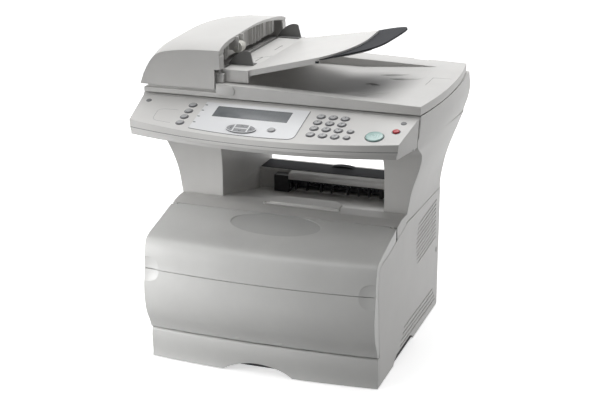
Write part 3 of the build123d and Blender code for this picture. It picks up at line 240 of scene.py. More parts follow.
def liquidCrystal(name, values):
    # blank display: upright cell lines, paler towards the right as a painted sheen, with a slight
    # haze
    finish = Finish(bpy.data.materials.new(name))
    across = finish.axis("X")
    cells = (across + 1) * (1 / (values["cell"] * mm))
    cell = finish.node("ShaderNodeMath", {"operation": "FRACT"}, {0: cells})
    line = (cell > values["lineFrom"]) * values["lineShare"]
    share = ((across - values["start"] * mm) * (1 / (values["width"] * mm))).clipped()
    haze = finish.noise(30, 3, (1, 2, 2))
    # the left to right blend is a painted sheen
    base = finish.blend(share, values["left"], values["right"])
    base = finish.blend((haze - 0.4).clipped() * 0.8, base, values["haze"])
    base = finish.blend(line, base, values["line"])
    return finish.surface({
        "Base Color": base, "Roughness": 0.16 + haze * 0.1,
        "Coat Weight": 0.6, "Coat Roughness": 0.05})


# one finish for each material slot of the record
finishes = {
    "casing": mouldedPlastic("casingPlastic", {
        "colour": srgb(211, 210, 208), "rough": 0.46, "grain": 0.1, "edge": 1.0}),
    "front_casing": mouldedPlastic("frontPlastic", {
        "colour": srgb(212, 212, 210), "rough": 0.4, "grain": 0.08, "edge": 1.0, "coat": 0.1,
        # the dish colour is painted shade, not a tone of the plastic
        "dish": {"halfWidth": 76, "halfDepth": 32, "depth": 63.5, "low": 222, "fade": 2.5,
                 "sharp": 60, "shade": 0.4, "colour": srgb(176, 177, 176)}}),
    "frame_plastic": mouldedPlastic("framePlastic", {
        "colour": srgb(86, 87, 89), "rough": 0.6, "grain": 0.2}),
    "charcoal_plastic": mouldedPlastic("charcoalPlastic", {
        "colour": srgb(58, 59, 62), "bloom": srgb(78, 79, 82), "rough": 0.7, "grain": 0.14,
        "edge": 0.5, "shine": 0.08}),
    "black_plastic": mouldedPlastic("blackPlastic", {
        "colour": srgb(46, 46, 47), "bloom": srgb(64, 64, 66), "rough": 0.42, "grain": 0.15,
        "edge": 0.4}),
    "drum_coating": mouldedPlastic("drumCoating", {
        "colour": srgb(30, 120, 130), "bloom": srgb(50, 140, 150), "rough": 0.12, "grain": 0.0,
        "edge": 0.2, "coat": 0.6}),
    "display_plate": mouldedPlastic("displayPlate", {
        "colour": srgb(226, 227, 229), "rough": 0.3, "grain": 0.03, "speckScale": 2200,
        "speck": 0.08, "coat": 0.35, "edge": 0.4, "depth": 0.03}),
    "key_grey": mouldedPlastic("keyGrey", {
        "colour": srgb(140, 141, 143), "bloom": srgb(168, 168, 170), "rough": 0.4,
        "grain": 0.06, "edge": 0.35}),
    "key_teal": mouldedPlastic("keyTeal", {
        "colour": srgb(146, 180, 175), "bloom": srgb(176, 202, 197), "rough": 0.3,
        "grain": 0.04, "edge": 0.6, "coat": 0.4}),
    "key_red": mouldedPlastic("keyRed", {
        "colour": srgb(178, 28, 40), "bloom": srgb(188, 44, 54), "rough": 0.34,
        "grain": 0.04, "edge": 0.4}),
    "steel": platedSteel("zincPlate", {
        "dark": srgb(140, 142, 144), "light": srgb(190, 191, 192), "tint": srgb(170, 172, 160),
        "rough": 0.3}),
    "rubber": gripRubber("rollerRubber", {
        "colour": srgb(44, 44, 46), "worn": srgb(70, 70, 72), "rough": 0.7}),
    "white_rubber": gripRubber("feedRubber", {
        "colour": srgb(216, 215, 208), "worn": srgb(192, 190, 182), "rough": 0.6}),
    "glass": platenGlass("scanGlass", {
        "colour": srgb(60, 72, 70), "smear": srgb(150, 160, 158)}),
}

# plastics and inks of the small trim; the guides are charcoal parts painted paler, as painted light
# where their faces catch the lamps
trimValues = {
    "printInk": {"colour": srgb(150, 151, 153), "grain": 0.05, "edge": 0.1},
    "keyInk": {"colour": srgb(52, 53, 56), "grain": 0.05, "edge": 0.1},
    "startInk": {"colour": srgb(196, 222, 216), "rough": 0.4, "grain": 0.02, "edge": 0.1},
    "skirtDark": {"colour": srgb(96, 97, 99), "grain": 0.08, "edge": 0.3},
    "capLight": {"colour": srgb(170, 170, 171), "rough": 0.36, "grain": 0.06, "edge": 0.3,
                 "coat": 0.2},
    "lampGreen": {"colour": srgb(70, 78, 76), "rough": 0.25, "grain": 0.02, "edge": 0.2,
                  "coat": 0.5},
    "screwGrey": {"colour": srgb(118, 119, 120), "rough": 0.45, "grain": 0.1, "edge": 0.4},
    "grooveDark": {"colour": srgb(120, 120, 119), "rough": 0.7, "grain": 0.1, "edge": 0.1},
    "paintedLitGuidePlastic": {"colour": srgb(112, 112, 111), "bloom": srgb(134, 134, 133), "edge": 0.5},
}
trim = {name: mouldedPlastic(name, values) for name, values in trimValues.items()}
# the display's left and right colours paint a sheen across it
trim["lcdFinish"] = liquidCrystal("lcdFinish", {
    "left": srgb(98, 102, 105), "right": srgb(116, 119, 122), "haze": srgb(128, 132, 136),
    "line": srgb(84, 88, 91), "cell": 7.2, "lineFrom": 0.93, "lineShare": 0.16,
    "start": -91.6, "width": 124})
print("finishes made:", len(finishes) + len(trim))

slotOf = {row["node"]: row["material_slot"] for row in frame["record"]["subparts"]}
for name, node in nodes.items():
    isGuide = name.startswith("guide_")
    node.data.materials.clear()
    # the guides take the paler charcoal, which is painted light
    node.data.materials.append(trim["paintedLitGuidePlastic"] if isGuide else finishes[slotOf[name]])
print("nodes finished")


# making pieces

def addObject(name, data):
    made = bpy.data.objects.new(name, data)
    bpy.context.scene.collection.objects.link(made)
    return made


def addPiece(name, build, material, body, smooth=40, bevel=0.0):
    # build fills a bmesh, in metres and in the frame's own axes
    shape = bmesh.new()
    build(shape)
    bmesh.ops.recalc_face_normals(shape, faces=shape.faces)
    mesh = bpy.data.meshes.new(name)
    shape.to_mesh(mesh)
    shape.free()
    piece = addObject(name, mesh)
    mesh.materials.append(material)
    if bevel:
        rounding = piece.modifiers.new("rounding", "BEVEL")
        rounding.width = bevel * mm
        rounding.segments = 3
        rounding.limit_method = "ANGLE"
    for face in mesh.polygons:
        face.use_smooth = True
    edges = piece.modifiers.new("edges", "EDGE_SPLIT")
    edges.split_angle = math.radians(smooth)
    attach(piece, body)


def loft(shape, rows, closed=False):
    # rings of points joined one to the next; the ends are capped, or joined where it is closed
    rings = [[shape.verts.new(spot) for spot in row] for row in rows]
    pairs = list(zip(rings, rings[1:]))
    if closed:
        pairs.append((rings[-1], rings[0]))
    else:
        shape.faces.new(rings[0])
        shape.faces.new(rings[-1])
    for a, b in pairs:
        for i in range(len(a)):
            j = (i + 1) % len(a)
            shape.faces.new((a[i], b[i], b[j], a[j]))


def slab(shape, ring, place, low, high):
    # a flat outline with thickness; place turns a corner and low or high into a point
    loft(shape, [[place(*corner, level) for corner in ring] for level in (low, high)])


def upright(x, z, depth):
    return point(x, depth, z)


def sideways(depth, z, x):
    return point(x, depth, z)


def rectangle(x0, x1, s0, s1):
    return [(x0, s0), (x1, s0), (x1, s1), (x0, s1)]


def block(shape, x0, x1, d0, d1, z0, z1):
    slab(shape, rectangle(x0, x1, d0, d1), point, z0, z1)


def heightAt(place, start, end):
    # height on the straight line through two (place, height) pairs
    return start[1] + (end[1] - start[1]) * (place - start[0]) / (end[0] - start[0])


# the control panel's own axes: x across, s up its slope, h off its face

panel = {"tilt": 15.9, "frontDepth": -2, "frontHeight": 403}
lean = math.radians(panel["tilt"])
panelAcross = Vector((1, 0, 0))
panelAlong = Vector((0, math.cos(lean), math.sin(lean)))
panelUp = Vector((0, -math.sin(lean), math.cos(lean)))
panelFront = point(0, panel["frontDepth"], panel["frontHeight"])


def onPanel(x, s, h=0.0):
    return panelFront + (panelAcross * x + panelAlong * s + panelUp * h) * mm


def lines(shape, path, width, low, high, place=onPanel):
    # thin straight strips from each place of a path to the next
    for (xa, sa), (xb, sb) in zip(path, path[1:]):
        run = math.hypot(xb - xa, sb - sa)
        nx, ns = -(sb - sa) / run * width / 2, (xb - xa) / run * width / 2
        ring = [(xa + nx, sa + ns), (xb + nx, sb + ns), (xb - nx, sb - ns), (xa - nx, sa - ns)]
        slab(shape, ring, place, low, high)


def circle(x, s, radius, h, steps=40):
    turns = [2 * math.pi * i / steps for i in range(steps)]
    return [onPanel(x + radius * math.cos(a), s + radius * math.sin(a), h) for a in turns]


def turned(shape, x, s, radius, profile, base=0.0):
    # a round form on the panel; profile gives shares of the radius and heights over base
    loft(shape, [circle(x, s, radius * share, base + h) for share, h in profile])


lcd = {"x": (-91.3, 32.1), "s": (31.7, 62.1), "h": (-0.15, 0.15)}


def buildLcd(shape):
    slab(shape, rectangle(*lcd["x"], *lcd["s"]), onPanel, *lcd["h"])


addPiece("lcdWindow", buildLcd, trim["lcdFinish"], "base")

lcdFrame = {"width": 0.7, "h": (0.1, 0.42)}


def buildLcdFrame(shape):
    ring = rectangle(*lcd["x"], *lcd["s"])
    lines(shape, ring + ring[:1], lcdFrame["width"], *lcdFrame["h"])


addPiece("lcdFrame", buildLcdFrame, trim["skirtDark"], "base")

modeLamps = {"x": -112.3, "s": (62.4, 46, 27.7, 9.9), "wide": 4.2, "tall": 1.7, "h": (0.2, 0.6)}


def buildModeLamps(shape):
    x0, x1 = (modeLamps["x"] + side * modeLamps["wide"] / 2 for side in (-1, 1))
    half = modeLamps["tall"] / 2
    for s in modeLamps["s"]:
        slab(shape, rectangle(x0, x1, s - half, s + half), onPanel, *modeLamps["h"])


addPiece("modeLamps", buildModeLamps, trim["lampGreen"], "base", bevel=0.15)

screwCaps = {"places": ((-211.8, 61), (209.8, 60.8)), "radius": 4.6,
             "profile": ((1, -0.2), (1, 0.275), (0.9, 0.77), (0.6, 1.045), (0.15, 1.1))}


def buildScrewCaps(shape):
    for x, s in screwCaps["places"]:
        turned(shape, x, s, screwCaps["radius"], screwCaps["profile"])


addPiece("screwCaps", buildScrewCaps, trim["screwGrey"], "base", smooth=60)

# keys: x, s and radius; the digits stand in a block of four rows
keypad = {"x": (79.5, 98.9, 118.2), "s": (58.6, 40.8, 23.3, 5.1), "radius": 5.8,
          "names": ("1", "2", "3", "4", "5", "6", "7", "8", "9", "star", "0", "hash"),
          "marks": "123456789*0#"}
keyPlaces = {}
for number, name in enumerate(keypad["names"]):
    row, column = divmod(number, len(keypad["x"]))
    keyPlaces["key_" + name] = (keypad["x"][column], keypad["s"][row], keypad["radius"])
keyPlaces.update({
    "redial_key": (137.3, 23.4, 4.5), "pause_key": (136.6, 5.7, 4.5),
    "return_key": (16.2, 6.9, 5.8), "copy_key": (-134, 58.3, 5.5),
    "scan_key": (-134, 39.8, 5.5), "fax_key": (-134, 22.2, 5.5),
    "options_key": (-134, 4.1, 5.5)})
bigKeys = {"start_button": (177, 15.6, 13.4), "stop_button": (205, 35.6, 5.3)}

collar = {"gap": 0.45, "width": 1.3, "buried": 0.1, "shoulder": 0.21, "rise": 0.35}


def buildCollars(shape):
    low = -collar["buried"]
    for x, s, radius in [*keyPlaces.values(), *bigKeys.values()]:
        inner = radius + collar["gap"]
        outer = inner + collar["width"]
        crown = (inner + outer) / 2
        section = ((inner, low), (inner, collar["shoulder"]), (crown, collar["rise"]), (outer, low))
        loft(shape, [circle(x, s, r, h) for r, h in section], closed=True)


addPiece("keyCollars", buildCollars, trim["skirtDark"], "base", smooth=60)

keyTop = 2.0  # height of a key's own solid over the panel
keyCap = {"inset": 0.9,
          "profile": ((1, -0.1), (1, 0.1), (0.92, 0.2475), (0.7, 0.405), (0.2, 0.45))}
capTop = keyTop + keyCap["profile"][-1][1]


def addCap(name, place, material):
    x, s, radius = place

    def build(shape):
        turned(shape, x, s, radius - keyCap["inset"], keyCap["profile"], keyTop)
    addPiece(name + "Cap", build, material, name, smooth=60)


for name, place in keyPlaces.items():
    addCap(name, place, trim["capLight"])
addCap("start_button", bigKeys["start_button"], finishes["key_teal"])
addCap("stop_button", bigKeys["stop_button"], finishes["key_red"])

# plain digits on the keypad
digitText = {"size": 5.4, "thick": 0.06}
panelTurn = Matrix((panelAcross, panelAlong, panelUp)).transposed().to_4x4()


def addDigit(name, mark):
    x, s, _ = keyPlaces[name]
    text = bpy.data.curves.new(name + "Mark", "FONT")
    text.body = mark
    text.size = digitText["size"] * mm
    text.extrude = digitText["thick"] * mm
    text.align_x = "CENTER"
    text.align_y = "CENTER"
    holder = addObject(name + "MarkText", text)
    bpy.context.view_layer.update()
    mesh = bpy.data.meshes.new_from_object(holder)
    bpy.data.objects.remove(holder)
    mesh.transform(Matrix.Translation(onPanel(x, s, capTop)) @ panelTurn)
    mesh.materials.clear()
    mesh.materials.append(trim["keyInk"])
    piece = addObject(name + "Mark", mesh)
    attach(piece, name)


for name, mark in zip(keypad["names"], keypad["marks"]):
    addDigit("key_" + name, mark)

# a diamond and a bar on the start button
startMark = {"size": 4.2, "line": 0.8, "diamond": -1.5, "bar": 5, "h": (-0.08, 0.1)}


def buildStartMark(shape):
    x, s, _ = bigKeys["start_button"]
    size = startMark["size"]
    middle, bar = x + startMark["diamond"], x + startMark["bar"]
    diamond = [(middle - size, s), (middle, s + size), (middle + size, s), (middle, s - size)]
    for path in (diamond + diamond[:1], [(bar, s - size), (bar, s + size)]):
        lines(shape, path, startMark["line"], *(capTop + h for h in startMark["h"]))


addPiece("startMark", buildStartMark, trim["startInk"], "start_button")

# arrow heads of the menu keys: x, s and direction; and the pale rim round each key
menuSigns = {"size": 2.0, "reach": 1.2, "line": 0.8, "h": (-0.05, 0.1),
             "places": {"left": (-47.5, 1.6, -1, 0), "right": (-15.3, 1.6, 1, 0),
                        "up": (-31.3, 8.2, 0, 1), "down": (-31.3, -5.2, 0, -1)}}
menuRim = {"centre": (-31.3, 1.6), "width": 48.2, "tall": 23.8, "half": 11.5, "split": 0.25,
           "inset": 0.35, "line": 1.1, "h": (-0.1, 0.1), "sideSteps": 16, "endSteps": 12}


def ovalArc(a, b, start, end, steps):
    turns = [start + (end - start) * i / steps for i in range(steps + 1)]
    return [(a * math.cos(t), b * math.sin(t)) for t in turns]


def menuOutline(kind):
    # outline of one menu key: part of an oval between its straight sides
    a = menuRim["width"] / 2 - menuRim["inset"]
    b = menuRim["tall"] / 2 - menuRim["inset"]
    split = menuRim["split"] + menuRim["inset"]
    if kind in ("left", "right"):
        start = math.acos((menuRim["half"] + split) / a)
        ring = ovalArc(a, b, start, -start, menuRim["sideSteps"])
    else:
        edge = menuRim["half"] - split
        start = math.acos(edge / a)
        arc = ovalArc(a, b, start, math.pi - start, menuRim["endSteps"])
        ring = [(edge, split), *arc, (-edge, split)]
    turnX = -1 if kind == "left" else 1
    turnS = -1 if kind == "down" else 1
    cx, cs = menuRim["centre"]
    return [(cx + x * turnX, cs + s * turnS) for x, s in ring]


def buildMenuRim(kind):
    def build(shape):
        ring = menuOutline(kind)
        lines(shape, ring + ring[:1], menuRim["line"], *(keyTop + h for h in menuRim["h"]))
    return build


def buildMenuSign(kind):
    x, s, dx, ds = menuSigns["places"][kind]
    size, reach = menuSigns["size"], menuSigns["reach"]

    def build(shape):
        tip = (x + dx * reach, s + ds * reach)
        for turn in (-size, size):
            tail = (x - dx * reach + turn * ds, s - ds * reach + turn * dx)
            levels = (keyTop + h for h in menuSigns["h"])
            lines(shape, [tail, tip], menuSigns["line"], *levels)
    return build


for kind in menuSigns["places"]:
    body = "menu_" + kind + "_key"
    addPiece("menuSign" + kind.capitalize(), buildMenuSign(kind), trim["keyInk"], body)
    addPiece("menuRim" + kind.capitalize(), buildMenuRim(kind), finishes["display_plate"], body)

# dark joint round the display plate: a bowed front, a round corner and the right side
plateLine = {"front": ((-115, -8.5), (0, -16.5), (46, -14.5)), "steps": 16, "corner": 12,
             "cornerSteps": 6, "back": 71, "width": 0.9, "h": (0, 0.42)}


def bowedAt(x, places):
    # height at x of the parabola through three places
    total = 0
    for xi, si in places:
        share = 1
        for xj, _ in places:
            if xj != xi:
                share *= (x - xj) / (xi - xj)
        total += si * share
    return total


def buildPlateLine(shape):
    front, steps, radius = plateLine["front"], plateLine["steps"], plateLine["corner"]
    x0, (x1, s1) = front[0][0], front[-1]
    xs = [x0 + (x1 - x0) * i / steps for i in range(steps + 1)]
    path = [(x, bowedAt(x, front)) for x in xs]
    for i in range(1, plateLine["cornerSteps"] + 1):
        turn = math.pi / 2 * i / plateLine["cornerSteps"]
        path.append((x1 + radius * math.sin(turn), s1 + radius * (1 - math.cos(turn))))
    path.append((x1 + radius, plateLine["back"]))
    lines(shape, path, plateLine["width"], *plateLine["h"])


addPiece("plateLine", buildPlateLine, trim["skirtDark"], "base")

# faint printed bracket that ties the mode keys together
bracket = {"width": 0.5, "h": (-0.05, 0.08),
           "path": ((-152, 41), (-176, 40), (-182, 37.5), (-184.5, 33), (-183, 13),
                    (-180.5, 7.5), (-175, 4.5), (-150, 1.5))}


def buildBracket(shape):
    lines(shape, bracket["path"], bracket["width"], *bracket["h"])


addPiece("modeBracket", buildBracket, trim["printInk"], "base")

# joint along the panel's front edge, between its top shell and its lower skirt
panelSeam = {"low": {"half": 217, "bow": 31.5, "depth": -3, "height": 386},
             "high": {"half": 219, "bow": 25}, "share": (0.29, 0.34), "proud": 0.15,
             "buried": 0.3, "steps": 48}


def archPoint(half, bow, u):
    # sideways and forward place on an arch, u from -1 at its left end to 1
    radius = (half ** 2 + bow ** 2) / (2 * bow)
    angle = math.asin(half / radius) * u
    return radius * math.sin(angle), radius * (1 - math.cos(angle)) - bow


def frontPoint(u, share, proud):
    low, high = panelSeam["low"], panelSeam["high"]
    xLow, dLow = archPoint(low["half"], low["bow"], u)
    xHigh, sHigh = archPoint(high["half"], high["bow"], u)
    bottom = point(xLow, low["depth"] + dLow, low["height"])
    return bottom + (onPanel(xHigh, sHigh) - bottom) * share - Vector((0, proud * mm, 0))


def buildPanelSeam(shape):
    low, high = panelSeam["share"]
    out, into = panelSeam["proud"], -panelSeam["buried"]
    section = ((low, into), (low, out), (high, out), (high, into))
    us = [2 * i / panelSeam["steps"] - 1 for i in range(panelSeam["steps"] + 1)]
    loft(shape, [[frontPoint(u, share, proud) for share, proud in section] for u in us])


addPiece("panelSeam", buildPanelSeam, trim["skirtDark"], "base")
print("control panel dressed")

# lens-shaped ribs in the lid's recess, which rises to the right
lensRibs = {"steps": 24, "buried": 0.3, "end": 0.05, "floor": ((60, 434), (190, 443.4)), "ribs": (
    {"from": (109, 275), "to": (159, 279), "bow": -3, "half": 4.6, "rise": 2.2},
    {"from": (132, 249), "to": (186, 250), "bow": -7, "half": 4.4, "rise": 2.2},
    {"from": (102, 208), "to": (130, 199), "bow": 4, "half": 2.8, "rise": 1.8},
    {"from": (109, 148), "to": (163, 150), "bow": -4, "half": 4.8, "rise": 2.4})}


def lensSection(rib, t):
    # four corners of a rib at t of its length: its crest lies a little behind the middle
    (xa, da), (xb, db) = rib["from"], rib["to"]
    bulge = 4 * t * (1 - t)
    x = xa + (xb - xa) * t
    d = da + (db - da) * t + rib["bow"] * bulge
    z = heightAt(x, *lensRibs["floor"])
    w = rib["half"] * bulge ** 0.8 + lensRibs["end"]
    top = rib["rise"] * bulge
    return [point(x, d - w, z - lensRibs["buried"]), point(x, d - w * 0.45, z + top * 0.8),
            point(x, d + w * 0.1, z + top), point(x, d + w, z - lensRibs["buried"])]


def buildLensRibs(shape):
    steps = lensRibs["steps"]
    for rib in lensRibs["ribs"]:
        loft(shape, [lensSection(rib, i / steps) for i in range(steps + 1)])


addPiece("lensRibs", buildLensRibs, finishes["casing"], "lid", smooth=60)

# lip along the front of the bin's paper stop
stopLip = {"x": (-34, 81), "depth": (127.9, 132.6), "z": (243.9, 247.2), "corner": 2}


def buildStopLip(shape):
    x0, x1 = stopLip["x"]
    d0, d1 = stopLip["depth"]
    r = stopLip["corner"]
    ring = [(x0 + r, d0), (x1 - r, d0), (x1, d0 + r), (x1, d1), (x0, d1), (x0, d0 + r)]
    slab(shape, ring, point, *stopLip["z"])


addPiece("stopLip", buildStopLip, finishes["casing"], "bin_stop", bevel=1.1)

# corner of the paper stop that is let into the lid's sloping top
stopOutline = {"path": ((202.3, 211), (202.3, 262), (232, 267)), "width": 0.7,
               "h": (-0.3, 0.06), "lidTop": ((-104, 451), (241, 442))}


def onLid(x, depth, h):
    return point(x, depth, heightAt(x, *stopOutline["lidTop"]) + h)


def buildStopOutline(shape):
    lines(shape, stopOutline["path"], stopOutline["width"], *stopOutline["h"], onLid)


addPiece("stopOutline", buildStopOutline, trim["grooveDark"], "lid")

# boss on the front of the lid's rim, with its right corners rounded
rimBoss = {"x": (-101.5, -72), "z": (433.5, 448.5), "depth": (76.5, 74.4), "corner": 6,
           "turns": (0, 22, 45, 68, 90)}


def buildRimBoss(shape):
    x0, x1 = rimBoss["x"]
    z0, z1 = rimBoss["z"]
    r = rimBoss["corner"]
    turns = [math.radians(turn) for turn in rimBoss["turns"]]
    lower = [(x1 - r + r * math.sin(a), z0 + r - r * math.cos(a)) for a in turns]
    upper = [(x1 - r + r * math.cos(a), z1 - r + r * math.sin(a)) for a in turns]
    slab(shape, [(x0, z0), *lower, *upper, (x0, z1)], upright, *rimBoss["depth"])


addPiece("rimBoss", buildRimBoss, finishes["casing"], "lid", bevel=0.7)

# ribbed wall behind the mouth of the feeder's cover; each rib has its depth and its reach
mouthWall = {"x": -112, "thick": 1.6, "depth": (98, 362), "low": 479, "under": 3.2, "steps": 28,
             "ribLow": 481, "ribUnder": 3.4, "ribThick": 2, "ribInto": 0.5,
             "ribs": ((104, 9), (117, 9), (130, 7), (182, 5), (204, 5), (238, 8), (250, 8),
                      (266, 8), (276, 8), (296, 5), (322, 7), (334, 7)),
             "coverTop": ((76, 504), (96, 511), (140, 515), (215, 517.5), (290, 515),
                          (345, 509.5), (381, 501))}


def coverTop(depth):
    rows = mouthWall["coverTop"]
    for start, end in zip(rows, rows[1:]):
        if depth <= end[0]:
            return heightAt(depth, start, end)


def buildMouthWall(shape):
    x, steps, (d0, d1) = mouthWall["x"], mouthWall["steps"], mouthWall["depth"]
    depths = [d0 + (d1 - d0) * i / steps for i in range(steps + 1)]
    ring = [(d, mouthWall["low"]) for d in depths]
    ring += [(d, coverTop(d) - mouthWall["under"]) for d in reversed(depths)]
    slab(shape, ring, sideways, x, x - mouthWall["thick"])
    for d, reach in mouthWall["ribs"]:
        block(shape, x - mouthWall["ribInto"], x + reach, d, d + mouthWall["ribThick"],
              mouthWall["ribLow"], coverTop(d) - mouthWall["ribUnder"])


addPiece("mouthWall", buildMouthWall, finishes["casing"], "adf_cover", smooth=30)

# low plinth of the feeder, just behind the walls of its cover; each wall has its x and depths
plinth = {"z": (436.2, 441.2), "front": (-224, -97.5, 79.3, 81.3),
          "back": (-206, -97.5, 374.4, 376.2), "left": (-224, -222, 81.3, 366)}


def buildPlinth(shape):
    for wall in ("front", "back", "left"):
        block(shape, *plinth[wall], *plinth["z"])


addPiece("feederPlinth", buildPlinth, finishes["casing"], "lid", bevel=0.3)

# slots that the guides run in, their end holes and a crease, on the feeder's bed
bedMarks = {"slots": ((-69, 160, 193), (-69, 249, 283)), "slotWidth": 1.3,
            "holes": ((-69, 189), (-68.5, 283)), "holeLength": 4.68, "holeRise": 0.02,
            "crease": ((-79, 180), (-54.5, 207.5)), "creaseDrop": 0.03, "z": (471.9, 472.08)}


def buildBedMarks(shape):
    z0, z1 = bedMarks["z"]
    w = bedMarks["slotWidth"]
    for x, d0, d1 in bedMarks["slots"]:
        block(shape, x - w / 2, x + w / 2, d0, d1, z0, z1)
    half = bedMarks["holeLength"] / 2
    for x, d in bedMarks["holes"]:
        block(shape, x - w, x + w, d - half, d + half, z0, z1 + bedMarks["holeRise"])
    (xa, da), (xb, db) = bedMarks["crease"]
    ring = [(xa, da - w / 2), (xb, db - w / 2), (xb, db + w / 2), (xa, da + w / 2)]
    slab(shape, ring, point, z0, z1 - bedMarks["creaseDrop"])


addPiece("bedMarks", buildBedMarks, trim["grooveDark"], "input_tray")
print("lid and feeder dressed")

# dark plate over the rear wall of the paper exit, with a low hump on it; its darkness is painted
# shade where that wall's top lies in shadow under the scanner
shadeSill = {"plate": (-119, 153.5, 311.5, 359), "z": (244.9, 245.7), "humpX": (1, 43),
        "humpDepth": (345, 358), "humpRise": 3.6, "humpBuried": 0.3, "humpSteps": 12}


def buildShadeSill(shape):
    x0, x1 = shadeSill["humpX"]
    top = shadeSill["z"][1]
    block(shape, *shadeSill["plate"], *shadeSill["z"])
    shares = [i / shadeSill["humpSteps"] for i in range(shadeSill["humpSteps"] + 1)]
    ring = [(x0 + (x1 - x0) * t, top - shadeSill["humpBuried"]) for t in shares]
    ring += [(x0 + (x1 - x0) * t, top + shadeSill["humpRise"] * (4 * t * (1 - t)) ** 0.6)
             for t in reversed(shares)]
    slab(shape, ring, upright, *shadeSill["humpDepth"])


addPiece("exitShadeSill", buildShadeSill, finishes["charcoal_plastic"], "base")

# pale hood above the comb, as its outline of depth and height
hood = {"x": (-60, 153.5),
        "outline": ((289.4, 233.5), (291.2, 233.5), (292.2, 242.6), (309.8, 242.6),
                    (309.8, 244.4), (293.4, 244.4), (290.4, 242.9), (289.4, 240.4))}


def buildHood(shape):
    slab(shape, hood["outline"], sideways, *hood["x"])


addPiece("exitHood", buildHood, finishes["casing"], "base", bevel=0.4)
print("output bay dressed")

# pale runner under the front edge of the tray extension, and the dark clip at its start
runner = {"path": ((58, 108.5), (82, 106.8), (104, 106.3), (124, 110), (139, 119.5)),
          "wide": 2.2, "tall": 1.5, "buried": 0.4}
clip = {"x": (55.5, 61), "depth": (94.2, 97), "buried": 1.5, "tall": 3.2}
trayUnderside = {"start": (-56, 472), "slope": 14.3, "below": 6.1}


def underTray(x):
    slope = math.radians(trayUnderside["slope"])
    x0, z0 = trayUnderside["start"]
    return z0 + (x - x0) * math.tan(slope) - trayUnderside["below"] / math.cos(slope)


def buildRunner(shape):
    wide, low, high = runner["wide"], -runner["tall"], runner["buried"]
    section = ((0, high), (0, low), (wide, low), (wide, high))
    loft(shape, [[point(x, d + dd, underTray(x) + dz) for dd, dz in section]
                 for x, d in runner["path"]])


def buildClip(shape):
    top = underTray(clip["x"][0]) + clip["buried"]
    block(shape, *clip["x"], *clip["depth"], top - clip["tall"], top)


addPiece("extensionRunner", buildRunner, finishes["casing"], "tray_extension",
         bevel=0.3)
addPiece("trayClip", buildClip, finishes["charcoal_plastic"], "input_tray",
         bevel=0.3)
print("input tray dressed")


# floor, sky, lamps and camera, in metres

def seenShare(tree):
    # 1 where the camera, a reflection or glass looks, and 0 where light only bounces
    rays = ("Is Camera Ray", "Is Glossy Ray", "Is Transmission Ray")
    camera, glossy, through = (tree.node("ShaderNodeLightPath", {}, {}, out=ray) for ray in rays)
    return (camera + glossy + through).clipped()


floorValues = {"size": 16, "colour": (0.24, 0.24, 0.24), "toothColour": (0.2, 0.2, 0.2),
               "tooth": 0.1, "seenColour": (0.8, 0.8, 0.8), "nearGlow": (0.62, 0.62, 0.62),
               "farGlow": (1.05, 1.05, 1.05), "glowFrom": 0.25, "glowReach": 1.3}
floorMesh = bpy.data.meshes.new("floor")
half = floorValues["size"] / 2
corners = [(x, y, 0) for x, y in rectangle(-half, half, -half, half)]
floorMesh.from_pydata(corners, [], [(0, 1, 2, 3)])
floor = addObject("floor", floorMesh)
paper = Finish(bpy.data.materials.new("floorPaper"))
tooth = paper.noise(40, 3) * floorValues["tooth"]
matt = paper.node("ShaderNodeBsdfDiffuse", {}, {
    "Color": paper.blend(tooth, floorValues["colour"], floorValues["toothColour"])})
pale = paper.node("ShaderNodeBsdfDiffuse", {}, {"Color": floorValues["seenColour"]})
away = (paper.axis("X") ** 2 + paper.axis("Y") ** 2) ** 0.5
far = ((away - floorValues["glowFrom"]) * (1 / floorValues["glowReach"])).clipped()
glow = paper.node("ShaderNodeEmission", {}, {
    "Color": paper.blend(far, floorValues["nearGlow"], floorValues["farGlow"])})
lit = paper.node("ShaderNodeAddShader", {}, {0: pale, 1: glow})
mixed = paper.node("ShaderNodeMixShader", {}, {0: seenShare(paper), 1: matt, 2: lit})
floorMesh.materials.append(paper.close(mixed))

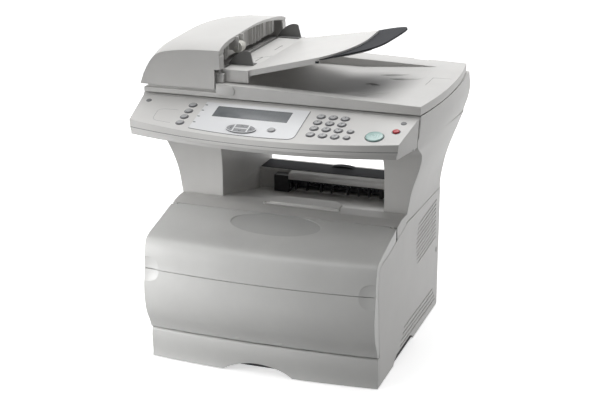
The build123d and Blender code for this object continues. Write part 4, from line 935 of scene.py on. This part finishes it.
skyValues = {"colour": (1.0, 1.0, 1.0), "fill": 0.09}
world = bpy.context.scene.world or bpy.data.worlds.new("world")
bpy.context.scene.world = world
sky = Finish(world)
strength = seenShare(sky) * (1 - skyValues["fill"]) + skyValues["fill"]
skyLight = sky.node("ShaderNodeBackground", {}, {
    "Color": skyValues["colour"], "Strength": strength})
sky.close(skyLight, "ShaderNodeOutputWorld")

lamps = {
    "topLamp": {"place": (0.1, 0.6, 1.9), "aim": (0, 0.1, 0.3),
                "size": 1.3, "power": 23.5, "spread": 180},
    "keyLamp": {"place": (-0.6, -1.5, 2.2), "aim": (0, -0.1, 0.25),
                "size": 0.9, "power": 12, "spread": 180},
    "sideLamp": {"place": (-1.6, -0.3, 1.0), "aim": (0, 0, 0.3),
                 "size": 0.8, "power": 10, "spread": 180},
    "leftLamp": {"place": (-0.75, -0.68, 0.23), "aim": (-0.12, -0.19, 0.14),
                 "size": 0.3, "power": 0.66, "spread": 60},
    "rightLamp": {"place": (1.3, 0.4, 0.35), "aim": (0.2, 0.05, 0.2),
                  "size": 0.6, "power": 4.4, "spread": 180},
    "backLamp": {"place": (-0.4, 1.7, 0.25), "aim": (0, 0.2, 0.25),
                 "size": 0.6, "power": 3.5, "spread": 180},
}
for name, values in lamps.items():
    light = bpy.data.lights.new(name, "AREA")
    light.size = values["size"]
    light.energy = values["power"]
    light.spread = math.radians(values["spread"])
    lamp = addObject(name, light)
    lamp.location = values["place"]
    aim = Vector(values["aim"]) - Vector(values["place"])
    lamp.rotation_euler = aim.to_track_quat("-Z", "Y").to_euler()

cameraValues = {"place": (0.7495, -2.1219, 0.9889), "pitch": 18.49, "yaw": 19.44,
                "lens": 85.25, "sensor": 36, "farthest": 60}
cameraData = bpy.data.cameras.new("camera")
cameraData.lens = cameraValues["lens"]
cameraData.sensor_width = cameraValues["sensor"]
cameraData.clip_end = cameraValues["farthest"]
camera = addObject("camera", cameraData)
camera.location = cameraValues["place"]
pitch, yaw = (math.radians(cameraValues[turn]) for turn in ("pitch", "yaw"))
camera.rotation_euler = (math.pi / 2 - pitch, 0, yaw)
bpy.context.scene.camera = camera
bpy.context.scene.view_settings.view_transform = "Standard"
print("stage set")
